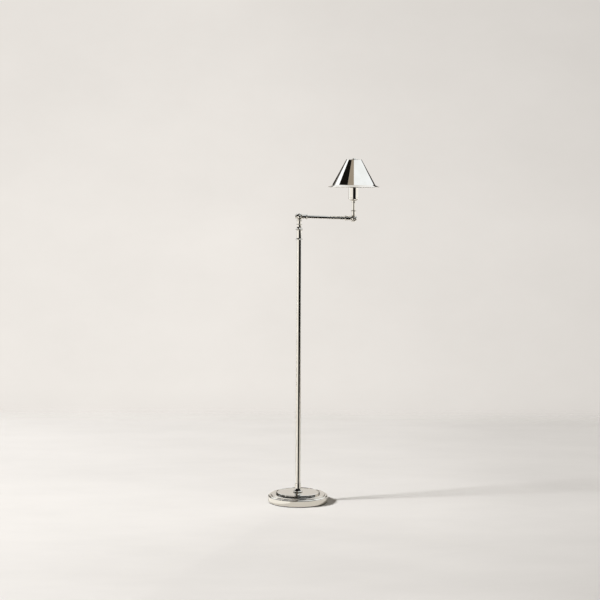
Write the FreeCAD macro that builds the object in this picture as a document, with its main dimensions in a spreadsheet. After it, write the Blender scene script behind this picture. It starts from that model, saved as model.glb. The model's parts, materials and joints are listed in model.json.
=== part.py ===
import FreeCAD, Part
import math
import os
import Sketcher

# A bridge floor lamp in polished nickel: a stepped round base with an iron weight, a slim pole with a
# telescoping riser held by a twist collar, a turned neck, a ball elbow, a short bridge arm, a second
# ball elbow and a stem that carries the lamp holder and a metal cone shade with a flared brim.
#
# Millimetres, +Z up.  The origin is the middle of the base's underside, the arm points along +X and
# the lamp is seen from -Y.

# ---------------------------------------------------------------------------------------------
# Driving sizes.  Every one goes into the sheet "Sizes" and is used from there.
# ---------------------------------------------------------------------------------------------
DRIVING_SIZES = {
    # clearances
    "seat_gap": 0.3,
    "running_clearance": 0.05,
    "slip_clearance": 0.05,
    # base
    "base_diameter": 229.0,
    "base_top_height": 38.0,
    "base_shell_wall": 1.5,
    "base_rim_height": 1.0,
    "base_side_top": 27.5,
    "base_side_rounding": 4.5,
    "shoulder_rise": 1.1,
    "lower_step_inset": 10.5,
    "lower_step_height": 32.6,
    "tread_rise": 0.6,
    "upper_step_inset": 30.5,
    "rim_bead_width": 4.0,
    "rim_bead_rise": 1.8,
    "step_rounding": 1.2,
    "pad_thickness": 2.0,
    "weight_thickness": 20.0,
    "weight_boss_radius": 20.0,
    "weight_edge_rounding": 3.0,
    "weight_pocket_radius": 17.0,
    "weight_pocket_depth": 9.0,
    "lead_channel_width": 15.0,
    "lead_channel_depth": 16.0,
    "lead_hole_height": 10.5,
    "lead_bore_radius": 3.5,
    "bushing_hub_radius": 5.5,
    "bushing_flange_radius": 7.2,
    "bushing_flange_thickness": 1.4,
    # threaded pipe and its fasteners
    "pipe_radius": 4.85,
    "pipe_bore_radius": 3.2,
    "clamp_washer_radius": 14.0,
    "clamp_washer_thickness": 2.0,
    "clamp_nut_radius": 9.2,
    "clamp_nut_thickness": 5.0,
    # foot of the pole
    "ferrule_height": 34.0,
    "ferrule_bead_radius": 17.5,
    "ferrule_bead_height": 5.2,
    "ferrule_waist_radius": 14.2,
    "ferrule_neck_radius": 11.5,
    "ferrule_neck_height": 15.0,
    "ferrule_edge_rounding": 0.8,
    "pole_seat_depth": 14.0,
    # pole and riser
    "pole_radius": 9.5,
    "pole_wall": 1.5,
    "pole_length": 947.0,
    "foot_plug_height": 12.0,
    "riser_radius": 6.35,
    "riser_wall": 1.0,
    "riser_travel": 300.0,
    "riser_stop_space": 3.0,
    "guide_height": 17.0,
    "guide_lip": 3.0,
    # twist collar
    "head_spigot_length": 30.0,
    "head_thread_radius": 8.6,
    "head_thread_length": 29.0,
    "collet_height": 6.2,
    "collet_slot_width": 1.2,
    "collar_height": 39.2,
    "collar_grip_radius": 10.4,
    "collar_flange_radius": 13.5,
    "collar_flange_thickness": 2.2,
    "collar_flare_height": 4.6,
    "collar_top_thickness": 2.6,
    "collar_top_rounding": 1.575,
    "collar_roof": 3.4,
    # neck
    "neck_height": 35.2,
    "neck_foot_thickness": 2.0,
    "neck_foot_radius": 13.5,
    "neck_bell_height": 12.4,
    "neck_waist_radius": 8.7,
    "neck_bead_radius": 10.3,
    "neck_bead_height": 5.0,
    "neck_bead_middle": 18.4,
    "neck_bead_rounding": 3.0,
    "neck_collar_radius": 10.8,
    "neck_collar_height": 3.2,
    "swivel_pin_radius": 5.0,
    "swivel_pin_length": 15.0,
    "swivel_spigot_length": 20.0,
    "swivel_nut_radius": 6.6,
    "swivel_nut_thickness": 2.6,
    # ball elbows
    "ball_radius": 13.7,
    "ball_cavity_radius": 8.4,
    "ball_flat": 9.8,
    "split_half_gap": 0.6,
    "friction_washer_thickness": 0.9,
    "friction_washer_inner": 9.9,
    "friction_washer_outer": 13.0,
    "shank_radius": 8.0,
    "shank_root": 9.6,
    "shank_thread_radius": 6.9,
    "shank_thread_length": 8.0,
    "pivot_radius": 3.0,
    "pivot_boss_radius": 5.5,
    "pivot_head_radius": 7.4,
    "pivot_head_edge": 1.0,
    "pivot_head_rise": 3.6,
    "spring_washer_thickness": 0.8,
    "spring_washer_radius": 6.6,
    "cap_nut_radius": 6.6,
    "cap_nut_height": 3.2,
    "cap_nut_thread_depth": 1.9,
    "end_button_radius": 8.3,
    "end_button_thickness": 1.7,
    "end_button_pin_radius": 2.6,
    "end_button_pin_offset": 4.6,
    "end_button_pin_length": 3.2,
    # arm and stem
    "arm_length": 205.0,
    "arm_droop": 1.7,
    "tube_radius": 6.0,
    "tube_wall": 1.0,
    "cup_radius": 8.0,
    "cup_bead_radius": 10.3,
    "cup_bead_width": 4.6,
    "cup_bead_edge": 1.15,
    "cup_bead_rounding": 2.76,
    "left_bead_distance": 28.5,
    "right_bead_distance": 30.5,
    "stem_bead_distance": 28.5,
    "stem_length": 36.0,
    # lamp holder
    "holder_cup_height": 20.0,
    "holder_cup_hub_radius": 8.5,
    "holder_cup_hub_height": 7.5,
    "holder_cup_wall": 1.4,
    "holder_cup_flange_radius": 20.0,
    "holder_cup_flange_height": 6.0,
    "holder_cup_bowl_radius": 18.0,
    "holder_cup_edge": 0.3,
    "cover_radius": 19.3,
    "cover_wall": 0.9,
    "cover_length": 60.0,
    "cover_seat_depth": 3.0,
    "stem_pipe_length": 22.0,
    "cup_nut_radius": 8.4,
    "cup_nut_thickness": 3.2,
    "insulator_radius": 15.6,
    "insulator_height": 32.0,
    "screw_shell_radius": 14.0,
    "screw_shell_wall": 0.5,
    "screw_shell_height": 27.0,
    "skirt_radius": 17.2,
    "skirt_wall": 1.8,
    "skirt_height": 44.0,
    "skirt_proud": 6.5,
    "insulator_shoulder": 3.4,
    "insulator_foot_radius": 11.5,
    "insulator_foot_height": 6.0,
    "insulator_pipe_depth": 6.0,
    "contact_radius": 4.0,
    "contact_thickness": 1.0,
    "terminal_radius": 1.9,
    "terminal_length": 5.0,
    "terminal_proud": 1.4,
    # bulb
    "bulb_cap_radius": 13.0,
    "bulb_cap_height": 24.0,
    "bulb_tip_radius": 4.5,
    "bulb_tip_height": 3.2,
    "bulb_neck_radius": 12.2,
    "bulb_radius": 22.5,
    "bulb_middle_height": 34.0,
    "bulb_neck_depth": 6.0,
    "bulb_glass_wall": 0.9,
    # shade carrier, spider and finial
    "carrier_ring_radius": 28.6,
    "carrier_ring_thickness": 1.4,
    "carrier_wire_radius": 1.4,
    "carrier_arch_radius": 27.0,
    "ring_nut_radius": 21.5,
    "ring_nut_height": 4.0,
    "carrier_hub_radius": 5.0,
    "carrier_hub_height": 4.0,
    "stud_radius": 3.1,
    "stud_length": 7.6,
    "spider_thickness": 1.6,
    "spider_drop": 4.6,
    "spider_arm_width": 5.0,
    "spider_hub_radius": 8.0,
    "spider_ring_width": 3.0,
    "finial_radius": 8.0,
    "finial_height": 8.8,
    "finial_edge": 1.6,
    # shade
    "shade_rim_rise": 117.0,
    "shade_height": 105.0,
    "shade_brim_height": 9.0,
    "shade_rim_radius": 97.0,
    "shade_waist_radius": 81.5,
    "shade_top_radius": 29.0,
    "shade_wall": 1.0,
    "shade_rim_bead": 1.3,
    "shade_top_bead": 1.1,
}

doc = FreeCAD.newDocument("bridge_floor_lamp")


# ---------------------------------------------------------------------------------------------
# Sizes that know their number and their place in the sheet
# ---------------------------------------------------------------------------------------------
class Size:
    """A number together with the sheet expression that gives it."""

    def __init__(self, number, text):
        self.number = number
        self.text = text

    def __add__(self, other):
        other = as_size(other)
        return Size(self.number + other.number, "(" + self.text + " + " + other.text + ")")

    def __sub__(self, other):
        other = as_size(other)
        return Size(self.number - other.number, "(" + self.text + " - " + other.text + ")")

    def __mul__(self, other):
        other = as_size(other)
        return Size(self.number * other.number, "(" + self.text + " * " + other.text + ")")

    def __truediv__(self, other):
        other = as_size(other)
        return Size(self.number / other.number, "(" + self.text + " / " + other.text + ")")

    def __neg__(self):
        return Size(-self.number, "(0 - " + self.text + ")")


def as_size(value):
    """A plain number as a Size, and a Size as it is."""
    if isinstance(value, Size):
        return value
    return Size(float(value), str(float(value)))


def square_root(value):
    """Square root of a Size."""
    return Size(math.sqrt(value.number), "sqrt(" + value.text + ")")


def sine(angle):
    """Sine of a Size that holds degrees."""
    return Size(math.sin(math.radians(angle.number)), "sin(" + angle.text + " * 1 deg)")


def cosine(angle):
    """Cosine of a Size that holds degrees."""
    return Size(math.cos(math.radians(angle.number)), "cos(" + angle.text + " * 1 deg)")


def side_of(longest, other):
    """Third side of a right-angled triangle: its longest side and one other are known."""
    return square_root(longest * longest - other * other)


def dome_radius(base, rise):
    """Radius of the ball whose cap has this base radius and rise, so that it meets the axis squarely."""
    return (base * base + rise * rise) / (rise * 2)


class Names:
    """Holder for the sizes, one attribute each."""


sheet = doc.addObject("Spreadsheet::Sheet", "Sizes")
worked_sheet = doc.addObject("Spreadsheet::Sheet", "Worked")
size = Names()
worked = Names()

for row, (alias, number) in enumerate(DRIVING_SIZES.items(), start=1):
    sheet.set("A" + str(row), alias)
    sheet.set("B" + str(row), str(number))
    sheet.setAlias("B" + str(row), alias)
    setattr(size, alias, Size(number, "Sizes." + alias))

worked_rows = []


def work_out(alias, value):
    """Keep a size that follows from the driving ones in its own cell of the second sheet."""
    worked_rows.append(alias)
    cell = "B" + str(len(worked_rows))
    worked_sheet.set("A" + str(len(worked_rows)), alias)
    worked_sheet.set(cell, "=" + value.text.replace("Worked.", ""))
    worked_sheet.setAlias(cell, alias)
    setattr(worked, alias, Size(value.number, "Worked." + alias))


doc.recompute()

# ---------------------------------------------------------------------------------------------
# Heights and radii that follow from the driving sizes
# ---------------------------------------------------------------------------------------------
work_out("base_radius", size.base_diameter / 2)
work_out("shell_inner_radius", worked.base_radius - size.base_shell_wall)
work_out("shell_inner_top", size.base_top_height - size.base_shell_wall)
work_out("pipe_hole_radius", size.pipe_radius + size.slip_clearance)
work_out("pole_foot", size.base_top_height + size.ferrule_height - size.pole_seat_depth)
work_out("pole_top", worked.pole_foot + size.pole_length)
work_out("pole_bore_radius", size.pole_radius - size.pole_wall)
work_out("collar_bottom", worked.pole_top + size.seat_gap)
work_out("collar_top", worked.collar_bottom + size.collar_height)
work_out("neck_bottom", worked.collar_top + size.seat_gap)
work_out("neck_top", worked.neck_bottom + size.neck_height)
work_out("ball_clear_radius", size.ball_radius + size.seat_gap)
work_out("elbow_height", worked.neck_top + worked.ball_clear_radius)
work_out("head_across", size.arm_length * cosine(size.arm_droop))
work_out("head_height", worked.elbow_height - size.arm_length * sine(size.arm_droop))
work_out("shank_end", worked.ball_clear_radius + size.shank_thread_length)
work_out("pivot_hole_radius", size.pivot_radius + size.running_clearance)
work_out("thread_seat_radius", size.shank_thread_radius + size.slip_clearance)
work_out("tube_seat_radius", size.tube_radius + size.slip_clearance)
work_out("tube_bore_radius", size.tube_radius - size.tube_wall)
work_out("riser_bore_radius", size.riser_radius - size.riser_wall)
work_out("riser_hole_radius", size.riser_radius + size.running_clearance)
work_out("riser_clear_radius", size.riser_radius + size.seat_gap)
work_out("riser_top", worked.neck_bottom + size.neck_foot_thickness)
work_out("spigot_bottom", worked.pole_top - size.head_spigot_length)
work_out("guide_top", worked.spigot_bottom - size.riser_stop_space - size.riser_travel)
work_out("guide_bottom", worked.guide_top - size.guide_height)
work_out("riser_bottom", worked.guide_bottom + size.guide_lip)
work_out("collar_bore_radius", size.head_thread_radius + size.running_clearance)
work_out("swivel_hole_radius", size.swivel_pin_radius + size.running_clearance)
work_out("swivel_floor", worked.riser_top + size.seat_gap)
work_out("stem_top_rise", worked.shank_end + size.stem_length)
work_out("cover_bottom_rise", worked.stem_top_rise + size.holder_cup_height - size.cover_seat_depth)
work_out("cover_top_rise", worked.cover_bottom_rise + size.cover_length)
work_out("insulator_rise", worked.stem_top_rise + size.holder_cup_wall + size.cup_nut_thickness
         + size.holder_cup_hub_height)
work_out("shell_rise", worked.insulator_rise + size.insulator_height)
work_out("bulb_rise", worked.shell_rise + size.contact_thickness + size.seat_gap)
work_out("carrier_rise", worked.cover_top_rise)
work_out("skirt_rise", worked.cover_top_rise + size.skirt_proud - size.skirt_height)
work_out("terminal_rise", size.insulator_height / 2)
work_out("shade_top_rise", size.shade_rim_rise + size.shade_height)
work_out("spider_rise", worked.shade_top_rise - size.spider_drop)

STAND_FRAME = "placement(vector(0; 0; 0); rotation(vector(0; 0; 1); 0))"
ELBOW_FRAME = "placement(vector(0; 0; Worked.elbow_height); rotation(vector(0; 0; 1); 0))"
ARM_FRAME = "placement(vector(0; 0; Worked.elbow_height); rotation(vector(0; 1; 0); Sizes.arm_droop))"
HEAD_FRAME = "placement(vector(Worked.head_across; 0; Worked.head_height); rotation(vector(0; 0; 1); 0))"

SPIDER_ARM_COUNT = 3
SAME_POINT = 1e-6
QUARTER_TURN = 90
HALF_TURN = 180
FULL_TURN = 360
NOTHING = as_size(0)

# Turns of a piece's own axes in its carrier's frame.
UPRIGHT = ((0, 0, 1), 0)
ALONG_ARM = ((0, 1, 0), QUARTER_TURN)
BACK_ALONG_ARM = ((0, 1, 0), -QUARTER_TURN)
TO_FRONT = ((1, 0, 0), QUARTER_TURN)
TO_BACK = ((1, 0, 0), -QUARTER_TURN)

parts = []


# ---------------------------------------------------------------------------------------------
# Helpers for sketches, turned pieces and placements
# ---------------------------------------------------------------------------------------------
def place(piece, frame, base=(0, 0, 0), turn=UPRIGHT):
    """Bind a piece's placement to its carrier's frame, its base point and its turn there."""
    point = "; ".join(as_size(coordinate).text for coordinate in base)
    axis = "; ".join(str(component) for component in turn[0])
    local = "placement(vector(" + point + "); rotation(vector(" + axis + "); " + str(turn[1]) + "))"
    piece.setExpression("Placement", frame + " * " + local)


def keep(piece, label):
    """Give a finished sub-part its name and put it on the list of files to write."""
    piece.Label = label
    parts.append(piece)
    return piece


def new_sketch(body, role, name):
    """Sketch on one of the body's own origin planes."""
    plane = next(feature for feature in body.Origin.OriginFeatures if feature.Role == role)
    sketch = body.newObject("Sketcher::SketchObject", name)
    sketch.AttachmentSupport = (plane, [""])
    sketch.MapMode = "FlatFace"
    return sketch


def bind(sketch, index, value):
    """Name a constraint and bind it to the sheet."""
    name = "size_" + str(index)
    sketch.renameConstraint(index, name)
    sketch.setExpression("Constraints." + name, value.text)


def pin(sketch, edge, end, across=None, up=None):
    """Hold the end of an edge at a distance across or up from the sketch's origin, or at both."""
    for kind, axis, value in (("DistanceX", -2, across), ("DistanceY", -1, up)):
        if value is None:
            continue
        value = as_size(value)
        if value.number == 0:
            sketch.addConstraint(Sketcher.Constraint("PointOnObject", edge, end, axis))
        elif value.number > 0:
            constraint = Sketcher.Constraint(kind, -1, 1, edge, end, value.number)
            bind(sketch, sketch.addConstraint(constraint), value)
        else:
            constraint = Sketcher.Constraint(kind, edge, end, -1, 1, -value.number)
            bind(sketch, sketch.addConstraint(constraint), -value)


def arc_between(start, end, radius):
    """Arc from start to end; a positive radius has its centre on the left of the way."""
    chord = end - start
    middle = start + chord * 0.5
    left = FreeCAD.Vector(-chord.y, chord.x, 0).normalize()
    side = math.copysign(1.0, radius)
    reach = math.sqrt(max(radius * radius - chord.Length * chord.Length / 4, 0.0))
    centre = middle + left * reach * side
    return Part.Arc(start, centre - left * abs(radius) * side, end)


def draw_outline(sketch, corners):
    """Closed outline through corners (across, up), or (across, up, radius) where an arc ends."""
    points = [FreeCAD.Vector(as_size(c[0]).number, as_size(c[1]).number, 0) for c in corners]
    for index, corner in enumerate(corners):
        start = points[index - 1]
        end = points[index]
        if len(corner) == 2:
            sketch.addGeometry(Part.LineSegment(start, end))
        else:
            sketch.addGeometry(arc_between(start, end, as_size(corner[2]).number))
    # an arc keeps its own sense of turning, so its end at each corner is looked up
    ends = []
    for index in range(len(corners)):
        forward = sketch.getPoint(index, 2).distanceToPoint(points[index]) < SAME_POINT
        ends.append((1, 2) if forward else (2, 1))
    for index, corner in enumerate(corners):
        following = (index + 1) % len(corners)
        joint = Sketcher.Constraint("Coincident", index, ends[index][1], following, ends[following][0])
        sketch.addConstraint(joint)
        pin(sketch, index, ends[index][1], corner[0], corner[1])
        if len(corner) == 3:
            radius = as_size(corner[2])
            radius = radius if radius.number > 0 else -radius
            bind(sketch, sketch.addConstraint(Sketcher.Constraint("Radius", index, radius.number)), radius)


def draw_circle(sketch, across, up, radius):
    """Circle held by its centre and radius."""
    centre = FreeCAD.Vector(as_size(across).number, as_size(up).number, 0)
    edge = sketch.addGeometry(Part.Circle(centre, FreeCAD.Vector(0, 0, 1), radius.number))
    pin(sketch, edge, 3, across, up)
    bind(sketch, sketch.addConstraint(Sketcher.Constraint("Radius", edge, radius.number)), radius)


def revolve(body, name, draw, shape, role="XZ_Plane", kind="PartDesign::Revolution"):
    """Turn a sketch on one of the body's planes about that sketch's upright axis."""
    sketch = new_sketch(body, role, name + "_sketch")
    draw(sketch, *shape)
    feature = body.newObject(kind, name)
    feature.Profile = sketch
    feature.ReferenceAxis = (sketch, ["V_Axis"])
    feature.Angle = FULL_TURN
    body.Tip = feature
    return feature


def extrude(body, name, draw, shape, length, role="XY_Plane", kind="PartDesign::Pad", back=False,
            start=None):
    """Pad or pocket of a sketch on one of the body's planes, or at a start distance from it."""
    sketch = new_sketch(body, role, name + "_sketch")
    if start is not None:
        sketch.setExpression("AttachmentOffset.Base.z", start.text)
    draw(sketch, *shape)
    feature = body.newObject(kind, name)
    feature.Profile = sketch
    feature.setExpression("Length", length.text)
    feature.Reversed = back
    body.Tip = feature
    return feature


def turned(label, corners, frame, base=(0, 0, 0), turn=UPRIGHT):
    """Piece turned about its own Z axis from corners (radius, height)."""
    body = doc.addObject("PartDesign::Body", label + "_body")
    revolve(body, label + "_turning", draw_outline, (corners,))
    place(body, frame, base, turn)
    return keep(body, label)


def tube(label, inner, outer, length, frame, base=(0, 0, 0), turn=UPRIGHT):
    """Plain ring or tube."""
    corners = [(inner, 0), (outer, 0), (outer, length), (inner, length)]
    return turned(label, corners, frame, base, turn)


def hex_nut(label, across_corners_radius, hole_radius, thickness, frame, base, turn=UPRIGHT):
    """Hexagonal nut: a six-sided prism with a hole."""
    prism = doc.addObject("Part::Prism", label + "_prism")
    prism.Polygon = 6
    prism.setExpression("Circumradius", across_corners_radius.text)
    prism.setExpression("Height", thickness.text)
    hole = doc.addObject("Part::Cylinder", label + "_hole")
    hole.setExpression("Radius", hole_radius.text)
    hole.setExpression("Height", thickness.text)
    nut = doc.addObject("Part::Cut", label + "_nut")
    nut.Base = prism
    nut.Tool = hole
    place(nut, frame, base, turn)
    return keep(nut, label)


# ---------------------------------------------------------------------------------------------
# Base
# ---------------------------------------------------------------------------------------------
def stepped_line(inset):
    """The base's stepped outline from rim to top, moved in and down by the inset."""
    side = worked.base_radius - inset
    shoulder = size.base_side_top + size.shoulder_rise - inset
    tread_edge = size.lower_step_height - inset
    tread_end = size.lower_step_height + size.tread_rise - inset
    top = size.base_top_height - inset
    lower = side - size.lower_step_inset
    upper = side - size.upper_step_inset
    return [
        (side, size.base_side_top - size.base_side_rounding - inset),
        (side - size.base_side_rounding, size.base_side_top - inset, size.base_side_rounding),
        (lower, shoulder),
        (lower, tread_edge - size.step_rounding),
        (lower - size.step_rounding, tread_edge, size.step_rounding),
        (upper, tread_end),
        (upper, top - size.step_rounding),
        (upper - size.step_rounding, top, size.step_rounding),
    ]


def reversed_line(corners):
    """The same line walked the other way, with each arc's radius kept with its edge."""
    backwards = []
    for index in range(len(corners) - 1, -1, -1):
        point = corners[index][:2]
        later = corners[index + 1] if index + 1 < len(corners) else ()
        backwards.append(point + (-later[2],) if len(later) == 3 else point)
    return backwards


def make_base_cover():
    """Stepped shell spun from sheet, with a hole for the pole's pipe and one for the lead."""
    body = doc.addObject("PartDesign::Body", "base_cover_body")
    top = size.base_top_height
    upper = worked.base_radius - size.upper_step_inset
    bead = size.rim_bead_width
    outside = stepped_line(NOTHING)[:-2]
    outside += [(upper, top), (upper - bead, top, dome_radius(bead / 2, size.rim_bead_rise))]
    inside = reversed_line(stepped_line(size.base_shell_wall))
    corners = [(worked.shell_inner_radius, size.base_rim_height), (worked.base_radius, size.base_rim_height)]
    corners += outside
    corners += [(worked.pipe_hole_radius, top)]
    corners += [(worked.pipe_hole_radius, worked.shell_inner_top)]
    corners += inside
    revolve(body, "base_cover_turning", draw_outline, (corners,))
    hole = (NOTHING, size.lead_hole_height, size.bushing_hub_radius + size.slip_clearance)
    extrude(body, "lead_hole", draw_circle, hole, worked.base_radius, "XZ_Plane", "PartDesign::Pocket")
    place(body, STAND_FRAME)
    return keep(body, "base_cover")


def make_base_weight():
    """Cast iron disc with a boss under the cover's top, a pocket for the nut and a lead channel."""
    body = doc.addObject("PartDesign::Body", "base_weight_body")
    radius = worked.shell_inner_radius - size.seat_gap
    rounding = size.weight_edge_rounding
    boss_top = worked.shell_inner_top - size.pad_thickness
    corners = [
        (size.weight_pocket_radius, 0),
        (radius, 0),
        (radius, size.weight_thickness - rounding),
        (radius - rounding, size.weight_thickness, rounding),
        (size.weight_boss_radius, size.weight_thickness),
        (size.weight_boss_radius, boss_top),
        (worked.pipe_hole_radius, boss_top),
        (worked.pipe_hole_radius, size.weight_pocket_depth),
        (size.weight_pocket_radius, size.weight_pocket_depth),
    ]
    revolve(body, "base_weight_turning", draw_outline, (corners,))
    half = size.lead_channel_width / 2
    channel = [(-half, size.pipe_radius * 2), (half, size.pipe_radius * 2),
               (half, worked.base_radius), (-half, worked.base_radius)]
    extrude(body, "lead_channel", draw_outline, (channel,), size.lead_channel_depth,
            kind="PartDesign::Pocket", back=True)
    place(body, STAND_FRAME, (0, 0, size.pad_thickness))
    return keep(body, "base_weight")


def make_base_pad():
    """Felt disc under the weight: the face that the lamp stands on."""
    radius = worked.shell_inner_radius - size.seat_gap
    corners = [(0, 0), (radius, 0), (radius, size.pad_thickness), (0, size.pad_thickness)]
    return turned("base_pad", corners, STAND_FRAME)


def make_lead_bushing():
    """Plastic bushing in the cover's back wall: the empty outlet for a lead."""
    flange = size.bushing_flange_thickness
    hub = size.bushing_hub_radius
    lip = size.bushing_flange_radius - size.bushing_flange_thickness / 2
    wall_start = side_of(worked.shell_inner_radius, lip)
    outside = flange + worked.base_radius - wall_start
    bore = size.lead_bore_radius
    corners = [
        (bore, 0),
        (lip, 0),
        (lip, flange),
        (hub, flange),
        (hub, outside),
        (size.bushing_flange_radius, outside),
        (size.bushing_flange_radius, outside + flange / 2),
        (size.bushing_flange_radius - flange / 2, outside + flange, flange / 2),
        (bore, outside + flange),
    ]
    return turned("lead_bushing", corners, STAND_FRAME,
                  (0, wall_start - flange, size.lead_hole_height), TO_BACK)


def make_base_clamp():
    """Threaded pipe, washer and nut that pull ferrule, cover and weight together."""
    ceiling = size.pad_thickness + size.weight_pocket_depth
    nut_bottom = ceiling - size.clamp_washer_thickness - size.clamp_nut_thickness
    pipe_top = worked.pole_foot + size.foot_plug_height
    tube("base_pipe", size.pipe_bore_radius, size.pipe_radius, pipe_top - nut_bottom, STAND_FRAME,
         (0, 0, nut_bottom))
    tube("clamp_washer", worked.pipe_hole_radius, size.clamp_washer_radius, size.clamp_washer_thickness,
         STAND_FRAME, (0, 0, ceiling - size.clamp_washer_thickness))
    hex_nut("clamp_nut", size.clamp_nut_radius, worked.pipe_hole_radius, size.clamp_nut_thickness,
            STAND_FRAME, (0, 0, nut_bottom))


# ---------------------------------------------------------------------------------------------
# Pole with its foot and its head
# ---------------------------------------------------------------------------------------------
def make_foot_ferrule():
    """Turned ferrule on the base: a bead, a bell-shaped waist and a neck that holds the pole."""
    bead = size.ferrule_bead_radius
    half_bead = size.ferrule_bead_height / 2
    edge = size.ferrule_edge_rounding
    neck_start = size.ferrule_height - size.ferrule_neck_height
    corners = [
        (worked.pipe_hole_radius, 0),
        (bead - half_bead, 0),
        (bead, half_bead, half_bead),
        (bead - half_bead, half_bead * 2, half_bead),
        (size.ferrule_waist_radius, half_bead * 2),
        (size.ferrule_neck_radius, neck_start, -(size.ferrule_height - size.ferrule_bead_height)),
        (size.ferrule_neck_radius, size.ferrule_height - edge),
        (size.ferrule_neck_radius - edge, size.ferrule_height, edge),
        (size.pole_radius + size.slip_clearance, size.ferrule_height),
        (size.pole_radius + size.slip_clearance, size.ferrule_height - size.pole_seat_depth),
        (worked.pipe_hole_radius, size.ferrule_height - size.pole_seat_depth),
    ]
    return turned("foot_ferrule", corners, STAND_FRAME, (0, 0, size.base_top_height))


def make_pole():
    """Plain tube from the ferrule to the collar."""
    return tube("pole", worked.pole_bore_radius, size.pole_radius, size.pole_length, STAND_FRAME,
                (0, 0, worked.pole_foot))


def make_pole_foot_plug():
    """Threaded plug brazed in the pole's foot, screwed on the base pipe."""
    return tube("pole_foot_plug", worked.pipe_hole_radius, worked.pole_bore_radius - size.slip_clearance,
                size.foot_plug_height, STAND_FRAME, (0, 0, worked.pole_foot))


def make_pole_head():
    """Bush pressed in the pole's top: it guides the riser and carries the collar's thread."""
    spigot = worked.pole_bore_radius - size.slip_clearance
    corners = [
        (worked.riser_hole_radius, 0),
        (spigot, 0),
        (spigot, size.head_spigot_length),
        (size.head_thread_radius, size.head_spigot_length),
        (size.head_thread_radius, size.head_spigot_length + size.head_thread_length),
        (worked.riser_hole_radius, size.head_spigot_length + size.head_thread_length),
    ]
    return turned("pole_head", corners, STAND_FRAME, (0, 0, worked.spigot_bottom))


def make_collet():
    """Split ring on the pole's head that the collar squeezes onto the riser."""
    body = doc.addObject("PartDesign::Body", "collet_body")
    outer = size.head_thread_radius - size.seat_gap
    tip = worked.riser_hole_radius + size.seat_gap * 2
    corners = [
        (worked.riser_hole_radius, 0),
        (outer, 0),
        (outer, size.collet_height / 2),
        (tip, size.collet_height),
        (worked.riser_hole_radius, size.collet_height),
    ]
    revolve(body, "collet_turning", draw_outline, (corners,))
    half = size.collet_slot_width / 2
    slot = [(0, -half), (size.pole_radius, -half), (size.pole_radius, half), (0, half)]
    extrude(body, "collet_slot", draw_outline, (slot,), size.collet_height,
            kind="PartDesign::Pocket", back=True)
    place(body, STAND_FRAME, (0, 0, worked.pole_top + size.head_thread_length))
    return keep(body, "collet")


def make_lock_collar():
    """Twist collar: a flared foot, a slim grip and a flat top ring."""
    roof = size.collar_height - size.collar_roof
    flange = size.collar_flange_thickness
    rounding = flange / 2
    top_flange = size.collar_height - size.collar_top_thickness
    top_middle = size.collar_height - size.collar_top_thickness / 2
    corners = [
        (worked.collar_bore_radius, 0),
        (size.collar_flange_radius - rounding, 0),
        (size.collar_flange_radius, rounding, rounding),
        (size.collar_flange_radius - rounding, flange, rounding),
        (size.collar_grip_radius, flange + size.collar_flare_height, -size.collar_flare_height * 2),
        (size.collar_grip_radius, top_flange - rounding),
        (size.collar_flange_radius - rounding, top_flange),
        (size.collar_flange_radius, top_middle, size.collar_top_rounding),
        (size.collar_flange_radius - rounding, size.collar_height, size.collar_top_rounding),
        (worked.riser_clear_radius, size.collar_height),
        (worked.riser_clear_radius, roof),
        (worked.collar_bore_radius, roof),
    ]
    return turned("lock_collar", corners, STAND_FRAME, (0, 0, worked.collar_bottom))


# ---------------------------------------------------------------------------------------------
# Riser and swivel
# ---------------------------------------------------------------------------------------------
def make_riser():
    """Inner tube with its guide in the pole, and the swivel pin that carries the neck."""
    tube("riser_tube", worked.riser_bore_radius, size.riser_radius, worked.riser_top - worked.riser_bottom,
         STAND_FRAME, (0, 0, worked.riser_bottom))
    slide = worked.pole_bore_radius - size.running_clearance
    seat = size.riser_radius + size.slip_clearance
    corners = [
        (worked.riser_bore_radius, 0),
        (slide, 0),
        (slide, size.guide_height),
        (seat, size.guide_height),
        (seat, size.guide_lip),
        (worked.riser_bore_radius, size.guide_lip),
    ]
    turned("riser_guide", corners, STAND_FRAME, (0, 0, worked.guide_bottom))
    spigot = worked.riser_bore_radius - size.slip_clearance
    pin_start = size.swivel_spigot_length
    corners = [
        (size.pipe_bore_radius, 0),
        (spigot, 0),
        (spigot, pin_start),
        (size.swivel_pin_radius, pin_start),
        (size.swivel_pin_radius, pin_start + size.swivel_pin_length + size.swivel_nut_thickness),
        (size.pipe_bore_radius, pin_start + size.swivel_pin_length + size.swivel_nut_thickness),
    ]
    turned("swivel_pin", corners, STAND_FRAME, (0, 0, worked.riser_top - size.swivel_spigot_length))
    tube("swivel_nut", size.swivel_pin_radius + size.slip_clearance, size.swivel_nut_radius,
         size.swivel_nut_thickness, STAND_FRAME, (0, 0, worked.riser_top + size.swivel_pin_length))


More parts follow.
